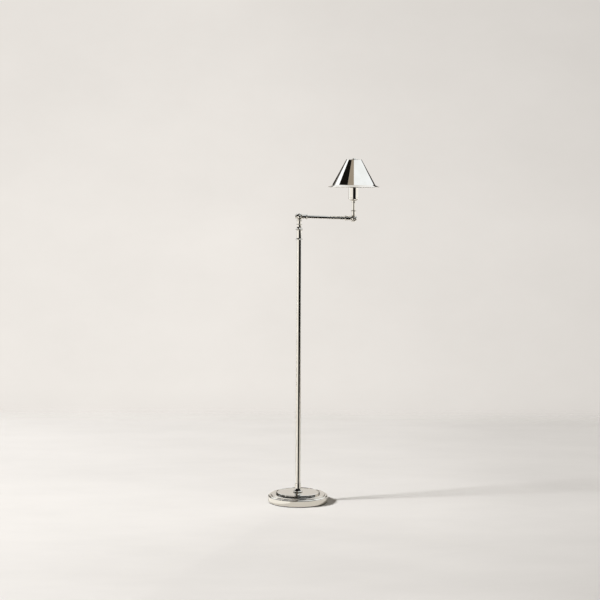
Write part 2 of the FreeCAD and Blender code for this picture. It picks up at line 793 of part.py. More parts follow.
# ---------------------------------------------------------------------------------------------
# Neck
# ---------------------------------------------------------------------------------------------
def make_neck():
    """Turned neck: bell foot, waist, bead, waist and a small collar under the ball."""
    foot = size.neck_foot_radius
    edge = size.neck_foot_thickness / 2
    bead_half = size.neck_bead_height / 2
    bead_low = size.neck_bead_middle - bead_half
    bead_high = size.neck_bead_middle + bead_half
    collar_start = size.neck_height - size.neck_collar_height
    collar_edge = size.neck_collar_height / 2
    floor = worked.swivel_floor - worked.neck_bottom
    nut_floor = worked.riser_top + size.swivel_pin_length - size.seat_gap - worked.neck_bottom
    corners = [
        (worked.riser_clear_radius, 0),
        (foot - edge, 0),
        (foot, edge, edge),
        (foot - edge, edge * 2, edge),
        (size.neck_waist_radius, size.neck_bell_height, -size.neck_bell_height),
        (size.neck_waist_radius, bead_low),
        (size.neck_bead_radius, size.neck_bead_middle, size.neck_bead_rounding),
        (size.neck_waist_radius, bead_high, size.neck_bead_rounding),
        (size.neck_waist_radius, collar_start - collar_edge),
        (size.neck_collar_radius - collar_edge, collar_start, -size.neck_height),
        (size.neck_collar_radius, collar_start + collar_edge, collar_edge),
        (size.neck_collar_radius, size.neck_height - collar_edge / 2),
        (size.neck_collar_radius - collar_edge / 2, size.neck_height, collar_edge / 2),
        (worked.thread_seat_radius, size.neck_height),
        (worked.thread_seat_radius, nut_floor),
        (worked.swivel_hole_radius, nut_floor),
        (worked.swivel_hole_radius, floor),
        (worked.riser_clear_radius, floor),
    ]
    return turned("neck", corners, STAND_FRAME, (0, 0, worked.neck_bottom))


# ---------------------------------------------------------------------------------------------
# Ball elbows
# ---------------------------------------------------------------------------------------------
NECK_HALF = ((0, 1, 0), HALF_TURN)
ARM_LEFT_HALF = ((1, 0, 1), HALF_TURN)
ARM_RIGHT_HALF = ((0, 1, 0), -QUARTER_TURN)
HEAD_HALF = ((0, 0, 1), HALF_TURN)


def make_ball_half(label, frame, base, turn, with_button=False):
    """Hollow half ball with a threaded shank.

    In its own axes the ball's middle is the origin, the half lies on +Y and the shank on +Z.
    """
    body = doc.addObject("PartDesign::Body", label + "_body")
    shank = [
        (size.pipe_bore_radius, size.shank_root),
        (size.shank_radius, size.shank_root),
        (size.shank_radius, worked.ball_clear_radius),
        (size.shank_thread_radius, worked.ball_clear_radius),
        (size.shank_thread_radius, worked.shank_end),
        (size.pipe_bore_radius, worked.shank_end),
    ]
    revolve(body, label + "_shank", draw_outline, (shank,))
    gap = size.split_half_gap
    clear = worked.ball_clear_radius
    other_half = [
        (0, gap),
        (0, -clear),
        (side_of(clear, gap), gap, clear),
    ]
    revolve(body, label + "_clearance", draw_outline, (other_half,), "XY_Plane", "PartDesign::Groove")
    bore = worked.pivot_hole_radius
    boss = size.pivot_boss_radius
    cavity = size.ball_cavity_radius
    ball = size.ball_radius
    half = [
        (bore, gap),
        (boss, gap),
        (boss, side_of(cavity, boss)),
        (side_of(cavity, gap), gap, -cavity),
        (side_of(ball, gap), gap),
        (side_of(ball, size.ball_flat), size.ball_flat, ball),
        (bore, size.ball_flat),
    ]
    revolve(body, label + "_half", draw_outline, (half,), "XY_Plane")
    lead_hole = [
        (0, size.shank_root - size.pipe_bore_radius),
        (size.pipe_bore_radius, size.shank_root - size.pipe_bore_radius),
        (size.pipe_bore_radius, worked.shank_end),
        (0, worked.shank_end),
    ]
    revolve(body, label + "_lead_hole", draw_outline, (lead_hole,), kind="PartDesign::Groove")
    if with_button:
        hole = (size.end_button_pin_offset, NOTHING, size.end_button_pin_radius + size.slip_clearance)
        start = (size.ball_cavity_radius + size.pivot_boss_radius) / 2
        extrude(body, label + "_button_hole", draw_circle, hole, size.ball_radius, "YZ_Plane",
                "PartDesign::Pocket", back=True, start=start)
    place(body, frame, base, turn)
    return keep(body, label)


def make_pivot(side, frame, base):
    """Pivot screw through both halves, with its washers and its cap nut at the back."""
    flat = size.ball_flat
    seat = flat + size.spring_washer_thickness + size.seat_gap
    head = size.pivot_head_radius
    rise = size.pivot_head_rise
    back_end = flat + size.cap_nut_height / 2
    edge = back_end + seat + size.pivot_head_edge
    corners = [
        (0, 0),
        (size.pivot_radius, 0),
        (size.pivot_radius, back_end + seat),
        (head, back_end + seat),
        (head, edge),
        (0, edge + rise, dome_radius(head, rise)),
    ]
    turned(side + "_pivot_screw", corners, frame, (base[0], back_end, base[2]), TO_FRONT)
    tube(side + "_spring_washer", worked.pivot_hole_radius, size.spring_washer_radius,
         size.spring_washer_thickness, frame, (base[0], -flat - size.seat_gap / 2, base[2]), TO_FRONT)
    washer = size.friction_washer_thickness
    tube(side + "_friction_washer", size.friction_washer_inner, size.friction_washer_outer,
         washer, frame, (base[0], washer / 2, base[2]), TO_FRONT)
    nut = size.cap_nut_height
    hole = size.pivot_radius + size.slip_clearance
    corners = [
        (hole, 0),
        (size.cap_nut_radius, 0),
        (size.cap_nut_radius, nut / 2),
        (0, nut, dome_radius(size.cap_nut_radius, nut / 2)),
        (0, size.cap_nut_thread_depth),
        (hole, size.cap_nut_thread_depth),
    ]
    turned(side + "_cap_nut", corners, frame, (base[0], flat, base[2]), TO_BACK)


def make_end_button():
    """Round button that closes the left elbow's outer side, on an off-centre pin."""
    body = doc.addObject("PartDesign::Body", "end_button_body")
    thickness = size.end_button_thickness
    rounding = thickness / 2
    radius = size.end_button_radius
    corners = [
        (0, 0),
        (radius, 0),
        (radius, thickness - rounding),
        (radius - rounding, thickness, rounding),
        (0, thickness),
    ]
    revolve(body, "end_button_disc", draw_outline, (corners,))
    pin_circle = (NOTHING, size.end_button_pin_offset, size.end_button_pin_radius)
    extrude(body, "end_button_pin", draw_circle, pin_circle, size.end_button_pin_length, back=True)
    place(body, ELBOW_FRAME, (-worked.ball_clear_radius, 0, 0), BACK_ALONG_ARM)
    return keep(body, "end_button")


# ---------------------------------------------------------------------------------------------
# Arm and stem
# ---------------------------------------------------------------------------------------------
def make_beaded_ferrule(label, bead_distance, frame, base, turn):
    """Straight ferrule from the ball to a bead, bored for the shank's thread and for the tube."""
    start = worked.ball_clear_radius
    length = bead_distance + size.cup_bead_width / 2 - start
    bead_start = length - size.cup_bead_width
    bead_edge = size.cup_bead_radius - size.cup_bead_edge
    thread = size.shank_thread_length
    corners = [
        (worked.thread_seat_radius, 0),
        (size.cup_radius, 0),
        (size.cup_radius, bead_start),
        (bead_edge, bead_start),
        (bead_edge, length, size.cup_bead_rounding),
        (worked.tube_seat_radius, length),
        (worked.tube_seat_radius, thread),
        (worked.thread_seat_radius, thread),
    ]
    return turned(label, corners, frame, base, turn)


def make_arm_and_stem():
    """The two tubes with a beaded ferrule at each elbow."""
    clear = worked.ball_clear_radius
    make_beaded_ferrule("left_arm_ferrule", size.left_bead_distance, ARM_FRAME, (clear, 0, 0), ALONG_ARM)
    tube("arm_tube", worked.tube_bore_radius, size.tube_radius, size.arm_length - worked.shank_end * 2,
         ARM_FRAME, (worked.shank_end, 0, 0), ALONG_ARM)
    make_beaded_ferrule("right_arm_ferrule", size.right_bead_distance, ARM_FRAME,
                        (size.arm_length - clear, 0, 0), BACK_ALONG_ARM)
    make_beaded_ferrule("stem_ferrule", size.stem_bead_distance, HEAD_FRAME, (0, 0, clear), UPRIGHT)
    tube("stem_tube", worked.tube_bore_radius, size.tube_radius, size.stem_length, HEAD_FRAME,
         (0, 0, worked.shank_end))


# ---------------------------------------------------------------------------------------------
# Lamp holder
# ---------------------------------------------------------------------------------------------
def make_holder_cup():
    """Bowl under the lamp holder: a hub on the stem, a bowl and a straight flange."""
    wall = size.holder_cup_wall
    flange = size.holder_cup_flange_radius
    rim_start = size.holder_cup_height - size.holder_cup_flange_height
    hub = size.holder_cup_hub_radius
    hub_top = size.holder_cup_hub_height
    bowl = size.holder_cup_bowl_radius
    inner = flange - wall
    seat = size.holder_cup_height - size.cover_seat_depth
    corners = [
        (worked.pipe_hole_radius, 0),
        (hub - wall, 0),
        (hub, wall, wall),
        (hub, hub_top),
        (flange - wall, rim_start, bowl),
        (flange, rim_start),
        (flange, size.holder_cup_height - size.holder_cup_edge),
        (flange - size.holder_cup_edge, size.holder_cup_height),
        (size.cover_radius + size.slip_clearance, size.holder_cup_height),
        (size.cover_radius + size.slip_clearance, seat),
        (inner - wall * 2, seat),
        (hub + wall, hub_top + wall, -bowl),
        (worked.pipe_hole_radius, hub_top + wall),
    ]
    return turned("holder_cup", corners, HEAD_FRAME, (0, 0, worked.stem_top_rise))


def make_holder_cover():
    """Plain tube over the lamp holder, seated in the cup."""
    return tube("holder_cover", size.cover_radius - size.cover_wall, size.cover_radius, size.cover_length,
                HEAD_FRAME, (0, 0, worked.cover_bottom_rise))


def make_holder_inside():
    """Pipe, plug and nut, then insulator, screw shell, skirt, contact and terminal screws."""
    half_pipe = size.stem_pipe_length / 2
    pipe_bottom = worked.stem_top_rise - half_pipe
    pipe_top = worked.insulator_rise + size.insulator_pipe_depth
    tube("holder_pipe", size.pipe_bore_radius, size.pipe_radius, pipe_top - pipe_bottom, HEAD_FRAME,
         (0, 0, pipe_bottom))
    nut_bottom = worked.stem_top_rise + size.holder_cup_hub_height + size.holder_cup_wall
    hex_nut("holder_nut", size.cup_nut_radius, worked.pipe_hole_radius, size.cup_nut_thickness,
            HEAD_FRAME, (0, 0, nut_bottom))
    make_insulator()
    tube("screw_shell", size.screw_shell_radius - size.screw_shell_wall, size.screw_shell_radius,
         size.screw_shell_height, HEAD_FRAME, (0, 0, worked.shell_rise))
    tube("holder_skirt", size.skirt_radius - size.skirt_wall, size.skirt_radius, size.skirt_height,
         HEAD_FRAME, (0, 0, worked.skirt_rise))
    contact = [(0, 0), (size.contact_radius, 0), (size.contact_radius, size.contact_thickness),
               (0, size.contact_thickness)]
    turned("centre_contact", contact, HEAD_FRAME, (0, 0, worked.shell_rise))
    make_terminal_screws()


def make_insulator():
    """Porcelain body with a bore for the pipe, a shoulder for the skirt and a cross hole."""
    body = doc.addObject("PartDesign::Body", "insulator_body")
    seat = worked.skirt_rise - worked.insulator_rise
    spigot = size.skirt_radius - size.skirt_wall - size.slip_clearance
    bore_top = size.insulator_pipe_depth + size.contact_thickness
    corners = [
        (worked.pipe_hole_radius, 0),
        (size.insulator_foot_radius, 0),
        (size.insulator_radius, size.insulator_foot_height),
        (size.insulator_radius, seat - size.insulator_shoulder),
        (size.skirt_radius, seat - size.insulator_shoulder),
        (size.skirt_radius, seat),
        (spigot, seat),
        (spigot, size.insulator_height),
        (0, size.insulator_height),
        (0, bore_top),
        (worked.pipe_hole_radius, bore_top),
    ]
    revolve(body, "insulator_turning", draw_outline, (corners,))
    hole = (NOTHING, worked.terminal_rise, size.terminal_radius + size.slip_clearance)
    for name, back in (("right_terminal_hole", True), ("left_terminal_hole", False)):
        extrude(body, name, draw_circle, hole, size.skirt_radius, "YZ_Plane", "PartDesign::Pocket",
                back=back)
    place(body, HEAD_FRAME, (0, 0, worked.insulator_rise))
    return keep(body, "insulator")


def make_terminal_screws():
    """Two short screws in the insulator's cross hole, one on each side."""
    screws = []
    for name, side in (("right", 1), ("left", -1)):
        screw = doc.addObject("Part::Cylinder", name + "_terminal_screw")
        screw.setExpression("Radius", size.terminal_radius.text)
        screw.setExpression("Height", size.terminal_length.text)
        start = size.insulator_radius - size.terminal_length + size.terminal_proud
        place(screw, STAND_FRAME, (start * side, 0, 0), ((0, 1, 0), QUARTER_TURN * side))
        screws.append(screw)
    group = doc.addObject("Part::Compound", "terminal_screws_group")
    group.Links = screws
    place(group, HEAD_FRAME, (0, 0, worked.insulator_rise + worked.terminal_rise))
    return keep(group, "terminal_screws")


# ---------------------------------------------------------------------------------------------
# Bulb
# ---------------------------------------------------------------------------------------------
def make_bulb():
    """Screw cap with its centre tip, and a frosted round glass on it."""
    tip = size.bulb_tip_radius
    tip_height = size.bulb_tip_height
    cap = size.bulb_cap_radius
    wall = size.bulb_glass_wall / 2
    skirt_start = tip_height + size.bulb_tip_radius
    cap_top = tip_height + size.bulb_cap_height
    corners = [
        (0, 0),
        (tip, 0),
        (tip, tip_height),
        (cap, skirt_start),
        (cap, cap_top),
        (cap - wall, cap_top),
        (cap - wall, skirt_start + wall),
        (0, skirt_start + wall),
    ]
    turned("bulb_cap", corners, HEAD_FRAME, (0, 0, worked.bulb_rise))
    glass = size.bulb_glass_wall
    neck = size.bulb_neck_radius
    outer = size.bulb_radius
    inner = outer - glass
    middle = size.bulb_neck_depth + size.bulb_middle_height
    shoulder = (neck + outer) / 2
    corners = [
        (neck - glass, 0),
        (neck, 0),
        (neck, size.bulb_neck_depth),
        (shoulder, middle - side_of(outer, shoulder)),
        (0, middle + outer, outer),
        (0, middle + inner),
        (shoulder - glass, middle - side_of(inner, shoulder - glass), -inner),
        (neck - glass, size.bulb_neck_depth),
    ]
    turned("bulb_glass", corners, HEAD_FRAME,
           (0, 0, worked.bulb_rise + cap_top - size.bulb_neck_depth))


# ---------------------------------------------------------------------------------------------
# Shade and what carries it
# ---------------------------------------------------------------------------------------------
def make_carrier_ring_nut():
    """Flat threaded ring that clamps the carrier on the holder's cover."""
    return tube("carrier_ring_nut", size.skirt_radius + size.slip_clearance, size.ring_nut_radius,
                size.ring_nut_height, HEAD_FRAME, (0, 0, worked.carrier_rise + size.carrier_ring_thickness))


def draw_arch(sketch, spread, foot, spring):
    """Open path: up on the right, half a circle over the bulb and down on the left."""
    right = FreeCAD.Vector(spread.number, foot.number, 0)
    right_spring = FreeCAD.Vector(spread.number, spring.number, 0)
    crown = FreeCAD.Vector(0, spring.number + spread.number, 0)
    left_spring = FreeCAD.Vector(-spread.number, spring.number, 0)
    left = FreeCAD.Vector(-spread.number, foot.number, 0)
    sketch.addGeometry(Part.LineSegment(right, right_spring))
    sketch.addGeometry(Part.Arc(right_spring, crown, left_spring))
    sketch.addGeometry(Part.LineSegment(left_spring, left))
    sketch.addConstraint(Sketcher.Constraint("Coincident", 0, 2, 1, 1))
    sketch.addConstraint(Sketcher.Constraint("Coincident", 1, 2, 2, 1))
    pin(sketch, 0, 1, spread, foot)
    pin(sketch, 0, 2, spread, spring)
    pin(sketch, 1, 3, up=spring)
    pin(sketch, 2, 1, -spread, spring)
    pin(sketch, 2, 2, -spread, foot)


def make_shade_carrier():
    """Ring on the holder's cover, a wire arch over the bulb and a hub with a threaded stud."""
    body = doc.addObject("PartDesign::Body", "shade_carrier_body")
    spread = size.carrier_arch_radius
    hub_middle = worked.spider_rise - size.carrier_hub_height / 2 - worked.carrier_rise
    spring = hub_middle - spread
    path = new_sketch(body, "XZ_Plane", "arch_path")
    foot = size.carrier_ring_thickness / 2
    draw_arch(path, spread, foot, spring)
    section = new_sketch(body, "XY_Plane", "arch_section")
    section.setExpression("AttachmentOffset.Base.z", foot.text)
    draw_circle(section, spread, NOTHING, size.carrier_wire_radius)
    arch = body.newObject("PartDesign::AdditivePipe", "arch")
    arch.Profile = section
    arch.Spine = (path, ["Edge1", "Edge2", "Edge3"])
    body.Tip = arch
    ring = [
        (size.skirt_radius + size.slip_clearance, 0),
        (size.carrier_ring_radius, 0),
        (size.carrier_ring_radius, size.carrier_ring_thickness),
        (size.skirt_radius + size.slip_clearance, size.carrier_ring_thickness),
    ]
    revolve(body, "carrier_ring", draw_outline, (ring,))
    hub_top = worked.spider_rise - worked.carrier_rise
    hub = [
        (0, hub_top - size.carrier_hub_height),
        (size.carrier_hub_radius, hub_top - size.carrier_hub_height),
        (size.carrier_hub_radius, hub_top),
        (size.stud_radius, hub_top),
        (size.stud_radius, hub_top + size.stud_length),
        (0, hub_top + size.stud_length),
    ]
    revolve(body, "carrier_hub", draw_outline, (hub,))
    place(body, HEAD_FRAME, (0, 0, worked.carrier_rise))
    return keep(body, "shade_carrier")


def make_spider():
    """Flat ring inside the shade's top with three arms to a hub on the stud."""
    body = doc.addObject("PartDesign::Body", "spider_body")
    cone_height = size.shade_height - size.shade_top_bead - size.shade_brim_height
    slope = (size.shade_waist_radius - size.shade_top_radius) / cone_height
    below_cone_top = size.spider_drop - size.spider_thickness - size.shade_top_bead
    outer = size.shade_top_radius - size.shade_wall + slope * below_cone_top - size.slip_clearance * 2
    thickness = size.spider_thickness
    inner = outer - size.spider_ring_width
    ring = [(inner, 0), (outer, 0), (outer, thickness), (inner, thickness)]
    revolve(body, "spider_ring", draw_outline, (ring,))
    hole = size.stud_radius + size.slip_clearance
    hub = [(hole, 0), (size.spider_hub_radius, 0), (size.spider_hub_radius, thickness), (hole, thickness)]
    half = size.spider_arm_width / 2
    arm_start = size.spider_hub_radius - half
    arm_end = inner + size.spider_ring_width / 2
    arm = [(arm_start, -half), (arm_end, -half), (arm_end, half), (arm_start, half)]
    first_arm = extrude(body, "spider_arm", draw_outline, (arm,), thickness)
    pattern = body.newObject("PartDesign::PolarPattern", "spider_arms")
    pattern.Originals = [first_arm]
    pattern.Axis = (first_arm.Profile[0], ["N_Axis"])
    pattern.Angle = FULL_TURN
    pattern.Occurrences = SPIDER_ARM_COUNT
    body.Tip = pattern
    revolve(body, "spider_hub", draw_outline, (hub,))
    place(body, HEAD_FRAME, (0, 0, worked.spider_rise))
    return keep(body, "spider")


def make_finial():
    """Small domed cap screwed on the stud."""
    radius = size.finial_radius
    edge = size.finial_edge
    bore = size.stud_radius + size.slip_clearance
    bore_top = size.stud_length - size.spider_thickness + size.seat_gap
    corners = [
        (bore, 0),
        (radius, 0),
        (radius, edge),
        (0, size.finial_height, dome_radius(radius, size.finial_height - edge)),
        (0, bore_top),
        (bore, bore_top),
    ]
    return turned("finial", corners, HEAD_FRAME, (0, 0, worked.spider_rise + size.spider_thickness))


def make_shade():
    """Spun cone with a flared brim and a rolled edge at both ends."""
    body = doc.addObject("PartDesign::Body", "shade_body")
    wall = size.shade_wall
    rim_bead = size.shade_rim_bead
    top_bead = size.shade_top_bead
    rim = size.shade_rim_radius - rim_bead
    waist = size.shade_waist_radius
    brim = size.shade_brim_height
    top = size.shade_height - top_bead
    brim_slope = (brim - rim_bead - wall / 2) / (rim - waist)
    corners = [
        (rim, rim_bead - wall / 2),
        (rim, rim_bead + wall / 2),
        (waist, brim),
        (size.shade_top_radius, top),
        (size.shade_top_radius - wall, top),
        (waist - wall, brim - wall + brim_slope * wall),
    ]
    revolve(body, "shade_wall", draw_outline, (corners,))
    revolve(body, "rim_bead", draw_circle, (rim, rim_bead, rim_bead))
    revolve(body, "top_bead", draw_circle, (size.shade_top_radius - wall / 2, top, top_bead))
    place(body, HEAD_FRAME, (0, 0, size.shade_rim_rise))
    return keep(body, "shade")


# ---------------------------------------------------------------------------------------------
# The whole lamp
# ---------------------------------------------------------------------------------------------
make_base_pad()
make_base_weight()
make_base_cover()
make_lead_bushing()
make_base_clamp()
make_foot_ferrule()
make_pole()
make_pole_foot_plug()
make_pole_head()
make_collet()
make_lock_collar()
make_riser()
make_neck()
make_ball_half("neck_ball_half", ELBOW_FRAME, (0, 0, 0), NECK_HALF, with_button=True)
make_end_button()
make_pivot("left", ELBOW_FRAME, (0, 0, 0))
make_ball_half("arm_left_ball_half", ARM_FRAME, (0, 0, 0), ARM_LEFT_HALF)
make_ball_half("arm_right_ball_half", ARM_FRAME, (size.arm_length, 0, 0), ARM_RIGHT_HALF)
make_pivot("right", ARM_FRAME, (size.arm_length, 0, 0))
make_ball_half("head_ball_half", HEAD_FRAME, (0, 0, 0), HEAD_HALF)
make_arm_and_stem()
make_holder_cup()
make_holder_cover()
make_holder_inside()
make_bulb()
make_shade_carrier()
make_carrier_ring_nut()
make_spider()
make_finial()
make_shade()

doc.recompute()

for item in doc.Objects:
    if "Invalid" in item.State or "Error" in item.State:
        raise RuntimeError(item.Name + " failed: " + str(item.State))
for cut in doc.Objects:
    if cut.TypeId in ("PartDesign::Pocket", "PartDesign::Groove"):
        if not cut.Shape.Volume < cut.BaseFeature.Shape.Volume:
            raise RuntimeError(cut.Name + " takes no material away")
for piece in parts:
    if piece.Shape.isNull() or not piece.Shape.isValid():
        raise RuntimeError(piece.Label + " has no valid shape")

os.makedirs("parts", exist_ok=True)
for piece in parts:
    piece.Shape.exportStep("parts/" + piece.Label + ".step")
    print(piece.Label, len(piece.Shape.Solids), "solid,", round(piece.Shape.Volume, 1), "cubic mm")
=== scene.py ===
# %% [markdown]
# # A bridge floor lamp
# The lamp stands on a heavy stepped base.  A slim pole carries a twist collar, a turned neck and a ball
# elbow; a short bridge arm reaches out to a second elbow, a stem, the lamp holder and a cone shade.
# Nearly every piece was made on a lathe or spun from sheet, so this lesson builds them the same way: a
# profile line is turned about an axis, worked out with numpy as one grid of points.

# %% Load the frame
import json
import math

import bpy
import numpy as np
from mathutils import Matrix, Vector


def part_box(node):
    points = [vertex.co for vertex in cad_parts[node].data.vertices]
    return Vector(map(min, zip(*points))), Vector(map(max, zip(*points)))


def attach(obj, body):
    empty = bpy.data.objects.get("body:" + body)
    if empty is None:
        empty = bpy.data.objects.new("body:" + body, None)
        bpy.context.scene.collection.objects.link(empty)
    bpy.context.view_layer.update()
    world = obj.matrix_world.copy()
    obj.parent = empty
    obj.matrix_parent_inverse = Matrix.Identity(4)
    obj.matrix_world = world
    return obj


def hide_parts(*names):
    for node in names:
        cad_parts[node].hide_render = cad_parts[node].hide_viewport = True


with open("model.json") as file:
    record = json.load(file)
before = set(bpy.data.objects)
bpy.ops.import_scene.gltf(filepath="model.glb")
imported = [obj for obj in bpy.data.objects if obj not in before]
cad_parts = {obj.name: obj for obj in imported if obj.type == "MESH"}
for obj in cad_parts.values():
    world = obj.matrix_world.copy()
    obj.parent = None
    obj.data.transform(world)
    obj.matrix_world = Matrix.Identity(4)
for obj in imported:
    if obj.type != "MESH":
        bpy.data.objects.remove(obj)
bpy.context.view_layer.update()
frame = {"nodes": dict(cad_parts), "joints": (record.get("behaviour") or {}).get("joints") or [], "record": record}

MM = 0.001

# %% [markdown]
# ## The camera
# The photograph was taken from about six metres with a longish lens, a little above the shade's rim, and
# it hangs a third of a degree out of level.  A long lens keeps the pole straight and the base's ellipse
# flat, which a wide lens close by would not.

# %% Camera
CAMERA_PLACE = (0.0, -6.13, 1.300)
CAMERA_PITCH = math.radians(90.0 - 4.88)
CAMERA_YAW = math.radians(-0.04)
CAMERA_ROLL = math.radians(0.30)
LENS_IN_PIXELS = 1620.0
FRAME_PIXELS = 600.0
SENSOR = 36.0

camera_data = bpy.data.cameras.new("camera")
camera_data.sensor_width = SENSOR
camera_data.lens = LENS_IN_PIXELS / FRAME_PIXELS * SENSOR
camera = bpy.data.objects.new("camera", camera_data)
bpy.context.scene.collection.objects.link(camera)
camera.matrix_world = (Matrix.Translation(CAMERA_PLACE) @ Matrix.Rotation(CAMERA_YAW, 4, "Z")
                       @ Matrix.Rotation(CAMERA_PITCH, 4, "X") @ Matrix.Rotation(CAMERA_ROLL, 4, "Z"))
bpy.context.scene.camera = camera
print("camera lens", round(camera_data.lens, 1), "mm")

# %% [markdown]
# ## Where the pieces belong
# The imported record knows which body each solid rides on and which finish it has.  Reading both here once
# means that a piece made later only needs the name of the solid that it stands for.

# %% Bodies, slots and joints
record = frame["record"]
body_of = {node: body for body, nodes in record["behaviour"]["bodies"].items() for node in nodes}
slot_of = {part["node"]: part["material_slot"] for part in record["subparts"]}
joint_place = {joint["name"]: joint.get("pos_m") for joint in frame["joints"]}
elbow = np.array(joint_place["arm_tilt"])
head = np.array(joint_place["head_tilt"])
arm_way = (head - elbow) / np.linalg.norm(head - elbow)
print("elbow", elbow.round(4), "head", head.round(4), "droop",
      round(math.degrees(math.asin(-arm_way[2])), 2), "degrees")

# %% [markdown]
# ## Nodes for the finishes
# Each finish is a small tree of shader nodes.  One helper adds a node and fills its sockets, and three
# more give noise, a colour ramp and a bump, so that a finish reads as a short recipe.  Turned pieces carry
# an attribute named "turning", their place on the lathe, and marks drawn on it run round the piece.

# %% Node helpers
def add(tree, kind, sockets=None, **settings):
    """New node of this kind, with settings on the node and values or links on its sockets."""
    made = tree.nodes.new(kind)
    for key, value in settings.items():
        setattr(made, key, value)
    for key, value in (sockets or {}).items():
        if isinstance(value, bpy.types.NodeSocket):
            tree.links.new(value, made.inputs[key])
        else:
            made.inputs[key].default_value = value
    return made


def lathe_place(tree):
    """The point's place on the lathe, in metres, from the piece's own attribute."""
    return add(tree, "ShaderNodeAttribute", attribute_name="turning").outputs["Vector"]


def object_place(tree):
    """The point's place in the object's own axes, in metres."""
    return add(tree, "ShaderNodeTexCoord").outputs["Object"]


def noise(tree, place, scale, detail=3.0, rough=0.5):
    """Noise with a scale for each axis, in cycles per metre."""
    stretched = add(tree, "ShaderNodeMapping", {"Vector": place, "Scale": scale})
    return add(tree, "ShaderNodeTexNoise", {"Vector": stretched.outputs["Vector"], "Scale": 1.0,
                                            "Detail": detail, "Roughness": rough}).outputs["Fac"]


def ramp(tree, factor, *stops):
    """Colour ramp through stops (place, grey) or (place, red, green, blue)."""
    made = add(tree, "ShaderNodeValToRGB", {"Fac": factor})
    elements = made.color_ramp.elements
    while len(elements) < len(stops):
        elements.new(0.5)
    for element, (place, *colour) in zip(elements, stops):
        element.position = place
        element.color = (colour * 3)[:3] + [1.0]
    return made.outputs["Color"]


def bump(tree, height, strength, depth, under=None):
    """Bump whose height of one stands for the depth, in metres."""
    sockets = {"Height": height, "Strength": strength, "Distance": depth}
    if under is not None:
        sockets["Normal"] = under
    return add(tree, "ShaderNodeBump", sockets).outputs["Normal"]


def new_finish(name):
    """Empty material with its shader and output in place."""
    material = bpy.data.materials.new(name)
    material.use_nodes = True
    tree = material.node_tree
    tree.nodes.clear()
    shader = add(tree, "ShaderNodeBsdfPrincipled")
    add(tree, "ShaderNodeOutputMaterial", {"Surface": shader.outputs["BSDF"]})
    return material, tree, shader


def fill(tree, shader, sockets):
    """Values and links for the shader's sockets."""
    for key, value in sockets.items():
        if isinstance(value, bpy.types.NodeSocket):
            tree.links.new(value, shader.inputs[key])
        else:
            shader.inputs[key].default_value = value


# %% [markdown]
# ## Polished nickel
# The bright metal is nickel plate over buffed brass and steel.  It is a mirror, so its colour is mostly
# the room's.  What makes it real is small: a warm tint that drifts, a haze where hands have been, and
# faint rings left by the buffing wheel.  The rings are noise squeezed along the lathe's axis.

# %% Polished nickel
def make_nickel(name, haze):
    """Nickel plate; haze is the roughness where the surface has been touched."""
    material, tree, shader = new_finish(name)
    place = lathe_place(tree)
    touched = noise(tree, place, (26.0, 26.0, 26.0), 5.0, 0.55)
    rings = noise(tree, place, (5.0, 5.0, 2200.0), 2.0)
    ripple = noise(tree, place, (90.0, 90.0, 90.0), 1.0)
    fill(tree, shader, {
        "Metallic": 1.0,
        "Base Color": ramp(tree, touched, (0.30, 0.66, 0.63, 0.565), (0.72, 0.73, 0.70, 0.64)),
        "Roughness": ramp(tree, touched, (0.42, 0.03), (0.74, haze)),
        "Normal": bump(tree, rings, 0.10, 0.00002, bump(tree, ripple, 0.10, 0.00003)),
    })
    return material


finishes = {"polished_nickel": make_nickel("polished_nickel", 0.07)}
print("finishes so far", list(finishes))

# %% [markdown]
# ## The shade's inside
# The inside of a metal shade is sprayed white so that it throws the light down.  Sprayed enamel is not
# flat: it has a fine orange-peel ripple, pools a little and yellows with the lamp's heat.

# %% White enamel
def make_enamel():
    """Sprayed white enamel with orange peel and a faint yellowing."""
    material, tree, shader = new_finish("white_enamel")
    place = object_place(tree)
    pooling = noise(tree, place, (18.0, 18.0, 18.0), 3.0)
    peel = noise(tree, place, (700.0, 700.0, 700.0), 1.0)
    fill(tree, shader, {
        "Base Color": ramp(tree, pooling, (0.35, 0.83, 0.815, 0.77), (0.70, 0.88, 0.87, 0.84)),
        "Roughness": ramp(tree, pooling, (0.35, 0.30), (0.75, 0.42)),
        "Coat Weight": 0.25,
        "Coat Roughness": 0.20,
        "Normal": bump(tree, peel, 0.25, 0.00006),
    })
    return material


enamel = make_enamel()
print("inside finish", enamel.name)

# %% [markdown]
# ## Metals inside the lamp
# Brass turnings, zinc-plated steel and the cast iron weight show only from below or when the lamp is
# taken apart, but each is finished.  Brass gets lathe rings, zinc its pale crystal patches, and iron the
# lumps that sand leaves under a black wash.

# %% Brass, steel, iron and the bulb's cap
def make_plain_metal(name, dark, light, rough, lump, depth):
    """Bare metal: colour drifts from dark to light over patches of the lump size."""
    material, tree, shader = new_finish(name)
    place = object_place(tree)
    patches = noise(tree, place, (lump,) * 3, 4.0)
    grain = noise(tree, place, (1400.0, 1400.0, 1400.0), 3.0)
    fill(tree, shader, {
        "Metallic": 1.0,
        "Base Color": ramp(tree, patches, (0.32, *dark), (0.70, *light)),
        "Roughness": ramp(tree, grain, (0.30, rough * 0.7), (0.75, rough * 1.4)),
        "Normal": bump(tree, grain, 0.30, depth),
    })
    return material


finishes["brass"] = make_plain_metal("brass", (0.66, 0.47, 0.20), (0.80, 0.61, 0.31), 0.26, 60.0, 0.00003)
finishes["zinc_steel"] = make_plain_metal("zinc_steel", (0.48, 0.48, 0.47), (0.64, 0.64, 0.62), 0.34,
                                          220.0, 0.00003)
finishes["bulb_cap_metal"] = make_plain_metal("bulb_cap_metal", (0.66, 0.66, 0.64), (0.77, 0.77, 0.75), 0.28,
                                              120.0, 0.00002)


